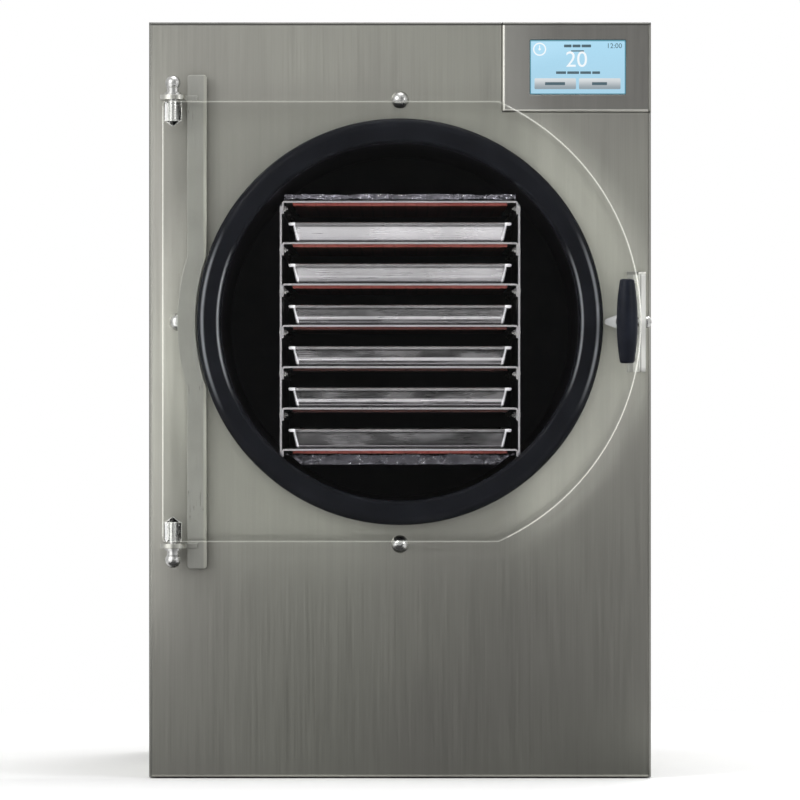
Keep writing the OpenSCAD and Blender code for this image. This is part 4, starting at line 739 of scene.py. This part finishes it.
def edit(piece):
    """Opens a piece in edit mode."""
    choose(piece)
    bpy.ops.object.mode_set(mode="EDIT")


def pick(kind, wanted):
    """Chooses the faces or edges of the open piece whose middle and normal or direction pass a test."""
    bpy.ops.mesh.select_mode(type=kind)
    bpy.ops.mesh.select_all(action="DESELECT")
    mesh = bpy.context.object.data
    shape = bmesh.from_edit_mesh(mesh)
    if kind == "FACE":
        for face in shape.faces:
            face.select_set(bool(wanted(face.calc_center_median(), face.normal)))
    else:
        for side in shape.edges:
            a, b = side.verts
            side.select_set(bool(wanted((a.co + b.co) / 2, (b.co - a.co).normalized())))
    shape.select_flush_mode()
    bmesh.update_edit_mesh(mesh)


def facing(axis, way):
    """A test for faces that look one way along an axis."""
    return lambda middle, normal: normal[axis] * way > 0.9


def along(axis):
    """A test for edges that run along an axis."""
    return lambda middle, direction: abs(direction[axis]) > 0.9


def round_off(width, segments=2):
    """Rounds what is chosen off."""
    bpy.ops.mesh.bevel(offset=width, segments=segments, affect="EDGES")


def inset(width, shift=None, extrude=False):
    """Draws the chosen faces in, and then pushes them or draws walls behind them."""
    bpy.ops.mesh.inset(thickness=width)
    if extrude:
        bpy.ops.mesh.extrude_region_move(TRANSFORM_OT_translate={"value": shift})
    elif shift:
        bpy.ops.transform.translate(value=shift)


def outward():
    """Turns every face of the open piece outward."""
    bpy.ops.mesh.select_all(action="SELECT")
    bpy.ops.mesh.normals_make_consistent(inside=False)


def done(piece, material, smooth=35.0):
    """Closes edit mode, shades the piece, and gives it its finish and the cabinet as its body."""
    choose(piece)
    bpy.ops.object.transform_apply(location=True, rotation=True, scale=True)
    bpy.ops.object.shade_smooth_by_angle(angle=math.radians(smooth))
    piece.data.materials.clear()
    piece.data.materials.append(material)
    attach(piece, "cabinet")
    return piece


def copy_to(model, place):
    """A copy of a model with a mesh of its own, shifted to a place."""
    choose(model)
    bpy.ops.object.duplicate(linked=False)
    bpy.context.object.location = place
    return bpy.context.object


def drop(model):
    """Deletes a model that only served for copies."""
    choose(model)
    bpy.ops.object.delete()


def copies(model, places, name):
    """Copies a small model to many places and joins the copies as one piece."""
    joined = join(name, *[copy_to(model, place) for place in places])
    drop(model)
    return joined


def fit_screws(name, width, height, places, out=-1.0):
    """Domed socket-head screws, their heads standing out along Y from each place, as one piece."""
    head = rod("screw_model", width, min(0.0, out * height), max(0.0, out * height))
    edit(head)
    pick("FACE", facing(1, out))
    round_off(height * 0.55, 3)
    pick("FACE", lambda middle, normal: normal.y * out > 0.99 and abs(middle.y) > height * 0.9)
    inset(width * 0.06, (0, -out * height * 0.6, 0), True)
    inset(width * 0.02)
    done(copies(head, places, name), bpy.data.materials["bright_steel"])


def nodes_in(*slots):
    """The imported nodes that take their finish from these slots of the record."""
    return [name for name, slot in SLOT_OF.items() if slot in slots]


def face_x(across):
    """A place across the front, from the screen layout's units to metres."""
    return (across - LAYOUT_MIDDLE) * UNIT


def face_z(down):
    """A height on the front, from the screen layout's units to metres."""
    return AXIS_Z + (LAYOUT_AXIS - down) * UNIT


def on_face(left, right, top, foot):
    """Low and high corner, in metres, of a rectangle in the screen layout's units."""
    return (face_x(left), face_z(foot)), (face_x(right), face_z(top))


# ---------------------------------------------------------------- operators

class DRYER_OT_cabinet(bpy.types.Operator):
    """Brushes the cabinet's sheets, the fascia and the brackets on the front"""

    bl_idname = "dryer.cabinet"
    bl_label = "Cabinet sheets"

    def execute(self, context):
        upright = (900, 900, 9)
        # the front sheet gets painted shade on its outer folds and painted light round the gasket
        dress(brushed_steel("cabinet_steel", upright, wear=0.0, fold=True), *nodes_in("stainless"))
        dress(brushed_steel("cover_steel", (900, 9, 900), dust=0.15, wear=0.0), "top_cover")
        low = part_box("control_fascia")[0]
        # painted highlights on the fascia: a lighter strip at its left and bright lines along its bottom and
        # left edges
        dress(brushed_steel("fascia_steel", upright, (0.30, 0.295, 0.275), (0.235, 0.23, 0.215), 0.34,
                            wear=0.3, fold=True,
                            painted_bands=[(0, low.x + 0.055, low.x + 0.005, (0.38, 0.375, 0.35)),
                                   (2, low.z + 0.0034, low.z + 0.0026, (0.58, 0.57, 0.53)),
                                   (0, low.x + 0.0036, low.x + 0.0028, (0.56, 0.555, 0.51))]),
              "control_fascia")
        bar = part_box("hinge_bracket")[1].x
        drawn = (700, 700, 40)
        # painted highlight along the hinge bar's right edge
        dress(brushed_steel("bracket_steel", drawn, (0.44, 0.44, 0.405), (0.35, 0.35, 0.32), 0.32, 9.0,
                            wear=0.2, painted_bands=[(0, bar - 0.0042, bar - 0.0022, (0.52, 0.52, 0.46))]),
              "hinge_bracket")
        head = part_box("strike_keeper")[1].z
        # painted light and shade across the strike, left to right: a bright flange, a dull step, a bright lip
        # and its side, and painted shade along its top
        dress(brushed_steel("strike_steel", drawn, (0.52, 0.52, 0.485), (0.44, 0.44, 0.41), 0.4, 9.0,
                            wear=0.0, painted_bands=[(0, 0.2500, 0.2510, (0.72, 0.72, 0.68)),
                                             (0, 0.2572, 0.2578, (0.4, 0.4, 0.37)),
                                             (0, 0.2582, 0.2590, (0.80, 0.80, 0.77)),
                                             (0, 0.2630, 0.2636, (0.5, 0.5, 0.46)),
                                             (2, head - 0.004, head - 0.0025, (0.32, 0.32, 0.30))]),
              "strike_bracket", "strike_keeper")
        return {"FINISHED"}


class DRYER_OT_bright_parts(bpy.types.Operator):
    """Polishes the hinge, the latch, the strike and the bolts, and colours the grip"""

    bl_idname = "dryer.bright_parts"
    bl_label = "Hinge, latch and bolts"

    def execute(self, context):
        bright = polished_metal("bright_steel", (0.44, 0.44, 0.43, 1), (0.33, 0.33, 0.32, 1),
                                smooth=0.24, rough=0.38)
        dress(bright, *[name for name in nodes_in("bright_steel") if name != "strike_keeper"])
        dress(polished_metal("cam_chrome", (0.86, 0.86, 0.87, 1), (0.74, 0.74, 0.75, 1),
                             smooth=0.34, rough=0.44), *nodes_in("chrome"))
        dress(moulded("grip_moulding", rgba(finishes().grip), (0.009, 0.011, 0.018, 1), grit=1500.0,
                      smooth=0.32, rough=0.46, depth=0.00003, dust=0.04, Specular_IOR_Level=0.1),
              "door_handle")
        at_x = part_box("strike_keeper")[0].x - 0.0063
        places = [(at_x, FRONT_Y - 0.003, AXIS_Z + z) for z in (-0.04, 0.04)]
        fit_screws("strike_screws", sizes().head_width, 0.0026, places)
        return {"FINISHED"}


class DRYER_OT_chamber(bpy.types.Operator):
    """Coats the drum, and finishes the gasket, the feet, the foam jacket and the coil"""

    bl_idname = "dryer.chamber"
    bl_label = "Chamber and gasket"

    def execute(self, context):
        dress(chamber_coat(), *nodes_in("black_coat"))
        dress(gasket_rubber(), "door_gasket")
        dress(moulded("foot_rubber", rgba(finishes().rubber), grey(0.03), grit=700.0, smooth=0.55,
                      rough=0.7, depth=0.0001, dust=0.6), "feet")
        dress(insulation_foam(), *nodes_in("foam"))
        dress(polished_metal("drawn_copper", (0.78, 0.39, 0.24, 1), (0.36, 0.16, 0.1, 1), smooth=0.24,
                             rough=0.5, scale=24.0), *nodes_in("copper"))
        return {"FINISHED"}


class DRYER_OT_rack(bpy.types.Operator):
    """Finishes the rack's sheets, skins the heater mats, and fits the screws that hold the shelves"""

    bl_idname = "dryer.rack"
    bl_label = "Rack and heater mats"

    def execute(self, context):
        dress(shelf_steel(), *nodes_in("rack_steel"))
        silicone = heater_skin()
        cover = sizes().mat_cover
        half = MAT_WIDTH / 2 + cover
        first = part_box(SHELVES[0])[1].z
        model = block("mat_model",
                      (-half, RACK_LOW.y + MAT_INSET - cover, first - MAT_FOOT - cover),
                      (half, RACK_HIGH.y - MAT_INSET + cover, first - MAT_HEAD))
        edit(model)
        pick("FACE", facing(2, -1))
        inset(0.007, (0, 0, -0.0003), True)
        inset(0.0006)
        pick("EDGE", along(2))
        round_off(0.0002)
        for shelf in SHELVES:
            mat = copy_to(model, (0, 0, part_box(shelf)[1].z - first))
            mat.name = mat.data.name = "heater_mat" + shelf[5:]
            done(mat, silicone)
        drop(model)
        rows = [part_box(shelf)[1].z - 0.008 for shelf in SHELVES[:-1]]
        across = [RACK_LOW.y + 0.02, (RACK_LOW.y + RACK_HIGH.y) / 2, RACK_HIGH.y - 0.02]
        places = [(0.0, y, z) for z in rows for y in across]
        bright = bpy.data.materials["bright_steel"]
        for name in ("rack_screws_left", "rack_screws_right"):
            model = self.screw_and_nut()
            if name == "rack_screws_left":
                self.mirror(model)
            done(copies(model, places, name), bright, 30.0)
        return {"FINISHED"}

    def screw_and_nut(self):
        """A screw head outside the right side plate, and its nut inside a shelf's fold."""
        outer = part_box("rack_side_right")[1].x
        head = rod("head_model", SCREW_WIDTH, outer, outer + 0.0009, "X", 20)
        edit(head)
        pick("FACE", facing(0, 1))
        round_off(0.0005, 3)
        pick("FACE", lambda middle, normal: normal.x > 0.99)
        inset(0.0008, (-0.0006, 0, 0), True)
        nut = rod("nut_model", SCREW_WIDTH, 0.1226, 0.12495, "X", 6)
        edit(nut)
        pick("FACE", facing(0, -1))
        inset(0.0005, (-0.0002, 0, 0))
        inset(0.0011, (-0.0018, 0, 0), True)
        inset(0.0004, (-0.0003, 0, 0))
        return join("screw_and_nut", nut, head)

    def mirror(self, model):
        """Turns the right side's model into the left side's."""
        bpy.ops.transform.mirror(constraint_axis=(True, False, False), orient_type="GLOBAL",
                                 center_override=(0, 0, 0))
        settle(model.name)
        edit(model)
        outward()


class DRYER_OT_trays(bpy.types.Operator):
    """Gives the six trays drawn sheet with painted shade at the foot and under the rolled rim, and painted
    highlights on the walls and front corners
    """

    bl_idname = "dryer.trays"
    bl_label = "Trays"

    def execute(self, context):
        dress(tray_steel(), *nodes_in("tray_steel"))
        return {"FINISHED"}


class DRYER_OT_foil(bpy.types.Operator):
    """Lays crushed foil blankets over and under the rack, in place of the plain ones"""

    bl_idname = "dryer.foil"
    bl_label = "Foil blankets"

    def execute(self, context):
        material = crushed_foil()
        top = block("foil_top", *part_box("foil_blanket_top"))
        self.crush(top, 1)
        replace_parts(done(top, material, 50.0), "foil_blanket_top")
        low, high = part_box("foil_blanket_bottom")
        under = block("foil_bottom", low, high)
        edit(under)
        pick("FACE", facing(2, -1))
        bpy.ops.transform.resize(value=(LOW_FOIL_FOOT / high.x, 1, 1), center_override=(0, 0, 0))
        self.crush(under, 2)
        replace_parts(done(under, material, 50.0), "foil_blanket_bottom")
        return {"FINISHED"}

    def crush(self, piece, seed):
        """Cuts a blanket into small faces and pushes folds into it, inward from its outer box."""
        edit(piece)
        front, back = (corner.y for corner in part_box("foil_blanket_top"))
        cuts = [((step * 0.009, 0, 0), (1, 0, 0)) for step in range(-13, 14)]
        cuts += [((0, front + (back - front) * step / 58, 0), (0, 1, 0)) for step in range(1, 58)]
        for place, across in cuts:
            bpy.ops.mesh.select_all(action="SELECT")
            bpy.ops.mesh.bisect(plane_co=place, plane_no=across)
        choose(piece)
        finer = piece.modifiers.new("finer", "SUBSURF")
        finer.subdivision_type = "SIMPLE"
        finer.levels = finer.render_levels = 1
        for size, depth, kind in ((0.03, 1.0, "CLOUDS"), (0.011, 0.55, "VORONOI")):
            pattern = bpy.data.textures.new(f"folds_{kind}_{seed}", kind)
            pattern.noise_scale = size
            push = piece.modifiers.new("push", "DISPLACE")
            push.texture = pattern
            push.texture_coords = "LOCAL"
            push.mid_level = 1.0
            push.strength = sizes().foil_relief * depth
        for modifier in list(piece.modifiers):
            bpy.ops.object.modifier_apply(modifier=modifier.name)


class DRYER_OT_door(bpy.types.Operator):
    """Makes the door clear, with a painted glow along its cut edges"""

    bl_idname = "dryer.door"
    bl_label = "Door"

    def execute(self, context):
        dress(clear_acrylic(), "door_plate")
        return {"FINISHED"}


class DRYER_OT_screen(bpy.types.Operator):
    """Lights the touch screen with plain shapes: a frame, a face, two keys, a dial, numbers and bars"""

    bl_idname = "dryer.screen"
    bl_label = "Touch screen"

    def execute(self, context):
        dress(screen_glass(), "touch_screen")
        dress(circuit_green(), "control_board")
        self.step = sizes().screen_step
        self.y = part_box("touch_screen")[0].y
        sky = finishes().sky
        border = glowing("screen_border", (0.10, 0.33, 0.42, 1), (0.08, 0.28, 0.37, 1), 0.85)
        field = glowing("screen_sky", rgba(sky, 1.05), rgba(sky, 0.92), 0.95)
        ink = glowing("screen_ink", (0.055, 0.11, 0.14, 1))
        white = glowing("screen_white", (0.92, 0.97, 1.0, 1), strength=0.95)
        self.plate("screen_frame", *self.centred(0.0, 0.0515, 0.0292), 0, border, 0.0012)
        self.plate("screen_face", *self.centred(0.0002, 0.0504, 0.0280), 1, field, 0.0008)
        for side, left, right in (("left", 534.5, 576.0), ("right", 579.0, 620.5)):
            low, high = on_face(left, right, 78.3, 89.2)
            key = glowing("key_" + side, (0.72, 0.76, 0.78, 1), (0.27, 0.33, 0.37, 1),
                          span=(low[1], high[1]))
            self.plate("screen_key_" + side, low, high, 2, key, 0.0011)
        self.bars(ink)
        self.numbers("screen_clock", "12:00", 606.5, 48.2, 5.2, ink)
        self.numbers("screen_figure", "20", 576.5, 66.8, 16.5, white)
        self.dial(white)
        return {"FINISHED"}

    def centred(self, drop, half_wide, half_tall):
        """Low and high corner of a rectangle about the screen's middle, or a little below it."""
        x, z = PANEL_HIGH.x - 0.0787, PANEL_HIGH.z - 0.0484 - drop
        return (x - half_wide, z - half_tall), (x + half_wide, z + half_tall)

    def plate(self, name, low, high, layer, material, corner):
        """A thin plate with rounded corners and a softened front edge."""
        back = self.y - self.step * layer
        piece = block(name, (low[0], back - self.step, low[1]), (high[0], back + 0.00001, high[1]))
        edit(piece)
        pick("EDGE", along(1))
        round_off(corner, 5)
        pick("FACE", facing(1, -1))
        round_off(self.step * 0.4)
        return done(piece, material)

    def bars(self, material):
        """Plain bars where a screen of this kind has words, in the second layer and on the keys."""
        rows = ((564, 571.5, 44.6, 47.4), (572.5, 580.5, 44.6, 47.4), (581.5, 591, 44.6, 47.4),
                (571, 584, 50.4, 51.6), (556, 566, 71.4, 74.0), (567.2, 579, 71.4, 74.0),
                (580.2, 591, 71.4, 74.0), (592.2, 600, 71.4, 74.0))
        marks = ((545, 565, 82.2, 85.2), (592, 607, 82.2, 85.2))
        join("screen_bars", *[self.plate(f"bar_{layer}", *on_face(*row), layer, material, 0.0005)
                              for layer, group in ((2, rows), (3, marks)) for row in group])

    def numbers(self, name, label, x, z, tall, material):
        """A plain number, such as a clock or a temperature."""
        choose_nothing()
        bpy.ops.object.text_add(location=(face_x(x), self.y - self.step * 2, face_z(z)),
                                rotation=(math.pi / 2, 0, 0))
        figures = bpy.context.object.data
        figures.body = label
        figures.align_x = "LEFT" if ":" in label else "CENTER"
        figures.size = tall * UNIT * 1.35
        figures.extrude = self.step
        bpy.ops.object.convert(target="MESH")
        piece = settle(name)
        edit(piece)
        bpy.ops.mesh.select_all(action="SELECT")
        bpy.ops.mesh.remove_doubles(threshold=0.000002)
        outward()
        done(piece, material)

    def dial(self, material):
        """A ring with a hand in it, at the screen's upper left."""
        step = self.step
        x, z = face_x(539.6), face_z(49.3)
        front = self.y - step * 3
        ring = rod("ring", 13.2 * UNIT, front, self.y - step, sides=48, at=(x, z))
        edit(ring)
        pick("FACE", facing(1, -1))
        inset(1.3 * UNIT, (0, step * 1.2, 0), True)
        hand = block("hand", (x - 0.0005, front, z - 0.001), (x + 0.0005, front + step * 2, z + 0.0042))
        edit(hand)
        pick("EDGE", along(1))
        round_off(0.0003)
        pin = rod("pin", 0.0026, front, front + step * 2, at=(x, z))
        done(join("screen_dial", hand, pin, ring), material)


class DRYER_OT_plant(bpy.types.Operator):
    """Finishes the cooling plant inside the base"""

    bl_idname = "dryer.plant"
    bl_label = "Cooling plant"

    def execute(self, context):
        dress(moulded("black_enamel", (0.008, 0.008, 0.009, 1), (0.016, 0.016, 0.017, 1), grit=420.0,
                      smooth=0.25, rough=0.4, depth=0.00012, dust=0.55, strength=0.6, Coat_Weight=0.35,
                      Coat_Roughness=0.12),
              *nodes_in("black_enamel"))
        dress(galvanised(), *nodes_in("galvanised"))
        low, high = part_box("fan_shroud")
        dress(coil_fins("condenser_fins", (low.y - 0.0001, high.y + 0.0001)), "condenser")
        dress(coil_fins("fan_blades"), "condenser_fan")
        return {"FINISHED"}


class DRYER_OT_back_fittings(bpy.types.Operator):
    """Finishes the inlet, the outlet, the switch and the hose fittings, and screws them and the sheet on"""

    bl_idname = "dryer.back_fittings"
    bl_label = "Back fittings"

    def execute(self, context):
        dress(moulded("black_plastic", (0.014, 0.014, 0.015, 1), (0.026, 0.026, 0.027, 1)),
              *nodes_in("black_plastic"))
        dress(moulded("red_rocker", (0.46, 0.018, 0.014, 1), (0.55, 0.04, 0.03, 1), grit=900.0,
                      smooth=0.16, rough=0.3, depth=0.00002, dust=None, strength=0.5, radius=0.0008,
                      Coat_Weight=0.4, Coat_Roughness=0.1),
              *nodes_in("red_plastic"))
        dress(turned_brass(), *nodes_in("brass"))
        inlet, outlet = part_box("power_inlet"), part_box("pump_outlet")
        level = (inlet[0].z + inlet[1].z) / 2
        places = [(x, BACK_Y + 0.003, level) for low, high in (inlet, outlet)
                  for x in (low.x + 0.005, high.x - 0.005)]
        fit_screws("fitting_screws", 0.0056, 0.0022, places, 1.0)
        low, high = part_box("rear_panel")
        edge = 0.0075
        places = [(x, low.z + 0.02 + (high.z - low.z - 0.04) * step / 5)
                  for x in (low.x + edge, high.x - edge) for step in range(6)]
        places += [(x, high.z - edge) for x in (-0.13, 0.0, 0.13)]
        places += [(x, low.z + edge) for x in (-0.2, -0.02, 0.02, 0.2)]
        fit_screws("sheet_screws", 0.008, 0.0024, [(x, BACK_Y, z) for x, z in places], 1.0)
        return {"FINISHED"}


class DRYER_OT_stage(bpy.types.Operator):
    """Sets up the pale floor, the soft studio light, the white surroundings and the camera"""

    bl_idname = "dryer.stage"
    bl_label = "Stage, light and camera"

    def execute(self, context):
        scene = context.scene
        scene.view_settings.view_transform = "Standard"
        self.floor()
        self.surroundings(scene)
        self.lamps()
        self.cards()
        choose_nothing()
        bpy.ops.object.camera_add(location=(0, FRONT_Y - 8.0, 0.4071), rotation=(math.pi / 2, 0, 0))
        camera = bpy.context.object
        camera.name = "camera"
        camera.data.lens = 334.65
        camera.data.sensor_width = 36
        camera.data.clip_end = 60
        scene.camera = camera
        return {"FINISHED"}

    def floor(self):
        """A wide pale floor that fades to white away from the dryer."""
        choose_nothing()
        bpy.ops.mesh.primitive_plane_add(size=24, location=(0, 0, 0))
        floor = settle("studio_floor")
        made = Finish("studio_floor", Specular_IOR_Level=0.2)
        made.surface(made.at.noise(40.0, 4.0).blend(grey(0.90), grey(0.93)), 0.7)
        away = take(made.tree, "ShaderNodeVectorMath", {0: made.at}, "Value", operation="LENGTH")
        share = ray(made.tree, "Camera") * away.eased(0.55, 1.5)
        floor.data.materials.append(made.crossed(share, take(made.tree, "ShaderNodeEmission")))

    def surroundings(self, scene):
        """White for what the camera sees, straight, mirrored or through the door; half as bright as a
        lamp."""
        scene.world = bpy.data.worlds.new("studio_world")
        scene.world.use_nodes = True
        tree = scene.world.node_tree
        tree.nodes.clear()
        seen = (ray(tree, "Camera") + ray(tree, "Glossy")).calc("ADD", ray(tree, "Transmission"), True)
        soft, white = (take(tree, "ShaderNodeBackground", {0: grey(1.0), 1: level}) for level in (0.5, 1.0))
        mixed = take(tree, "ShaderNodeMixShader", {0: seen, 1: soft, 2: white})
        put(tree, "ShaderNodeOutputWorld", {0: mixed})

    def lamps(self):
        """Soft square lamps, each turned to the dryer."""
        power = sizes()
        for name, place, aim, size, watts in (
                ("key_light", (-2.1, -2.5, 2.1), 0.45, 1.6, power.key_power),
                ("fill_light", (2.4, -2.2, 1.3), 0.4, 1.3, power.fill_power),
                ("top_light", (0.2, -0.2, 2.9), 0.5, 1.6, power.top_power),
                ("back_light", (0.9, 2.6, 1.9), 0.4, 1.6, power.top_power)):
            choose_nothing()
            turn = (Vector((0, 0, aim)) - Vector(place)).to_track_quat("-Z", "Y").to_euler()
            bpy.ops.object.light_add(type="AREA", location=place, rotation=turn)
            lamp = bpy.context.object
            lamp.name = name
            lamp.data.shape = "SQUARE"
            lamp.data.size = size
            lamp.data.energy = watts
            lamp.visible_camera = False

    def cards(self):
        """Dark and white cards that only reflections see, so that the bright sheets have something to
        show."""
        dark = Finish("card_black")
        dark.surface(dark.at.noise(3.0).blend(grey(0.05), grey(0.07)), 0.9)
        glow = Finish("card_white", Roughness=0.9, Emission_Strength=sizes().card_glow)
        feed(glow.shader, {"Emission Color": glow.at.noise(3.0).blend(grey(1.0), grey(0.97))})
        for name, x, y, z, made in (
                ("card_top_right", (0.30, 2.4), (-1.75, -1.75), (0.72, 2.0), dark),
                ("card_low", (-0.30, 0.62), (-1.05, -1.05), (0.0, 0.165), dark),
                ("card_low_right", (0.2, 0.9), (-0.95, -0.95), (0.1, 0.3), dark),
                ("card_floor", (-0.6, 0.30), (-1.5, -0.302), (0.003, 0.003), dark),
                ("card_front", (-1.1, 1.1), (-7.7, -7.7), (-0.7, 1.5), dark),
                ("card_left", (-0.62, -0.29), (-0.5, -0.5), (0.17, 0.74), glow)):
            choose_nothing()
            flat = z[0] == z[1]
            bpy.ops.mesh.primitive_plane_add(size=1, location=[sum(pair) / 2 for pair in (x, y, z)],
                                             rotation=(0, 0, 0) if flat else (math.pi / 2, 0, math.pi))
            bpy.context.object.scale = (x[1] - x[0], y[1] - y[0] if flat else z[1] - z[0], 1)
            card = settle(name)
            card.data.materials.append(made.material)
            card.visible_camera = card.visible_diffuse = card.visible_shadow = False
            card.visible_transmission = name in ("card_front", "card_left")


class DRYER_PT_panel(bpy.types.Panel):
    """The dryer's finishes, sizes and pieces"""

    bl_idname = "DRYER_PT_panel"
    bl_label = "Freeze dryer"
    bl_space_type = "VIEW_3D"
    bl_region_type = "UI"
    bl_category = "Dryer"

    def draw(self, context):
        for group in (context.scene.dryer_finishes, context.scene.dryer_sizes):
            box = self.layout.box()
            for name in group.__annotations__:
                box.prop(group, name)
        for piece in PIECES:
            self.layout.operator(piece.bl_idname)


PIECES = (DRYER_OT_stage, DRYER_OT_cabinet, DRYER_OT_bright_parts, DRYER_OT_chamber, DRYER_OT_rack,
          DRYER_OT_trays, DRYER_OT_foil, DRYER_OT_door, DRYER_OT_screen, DRYER_OT_plant,
          DRYER_OT_back_fittings)
CLASSES = (DryerFinishes, DryerSizes, *PIECES, DRYER_PT_panel)


def register():
    for kind in CLASSES:
        bpy.utils.register_class(kind)
    bpy.types.Scene.dryer_finishes = bpy.props.PointerProperty(type=DryerFinishes)
    bpy.types.Scene.dryer_sizes = bpy.props.PointerProperty(type=DryerSizes)


def unregister():
    del bpy.types.Scene.dryer_sizes
    del bpy.types.Scene.dryer_finishes
    for kind in reversed(CLASSES):
        bpy.utils.unregister_class(kind)


def main():
    """Registers the add-on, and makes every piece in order."""
    register()
    for piece in PIECES:
        group, name = piece.bl_idname.split(".")
        getattr(getattr(bpy.ops, group), name)()


if __name__ == "__main__":
    main()
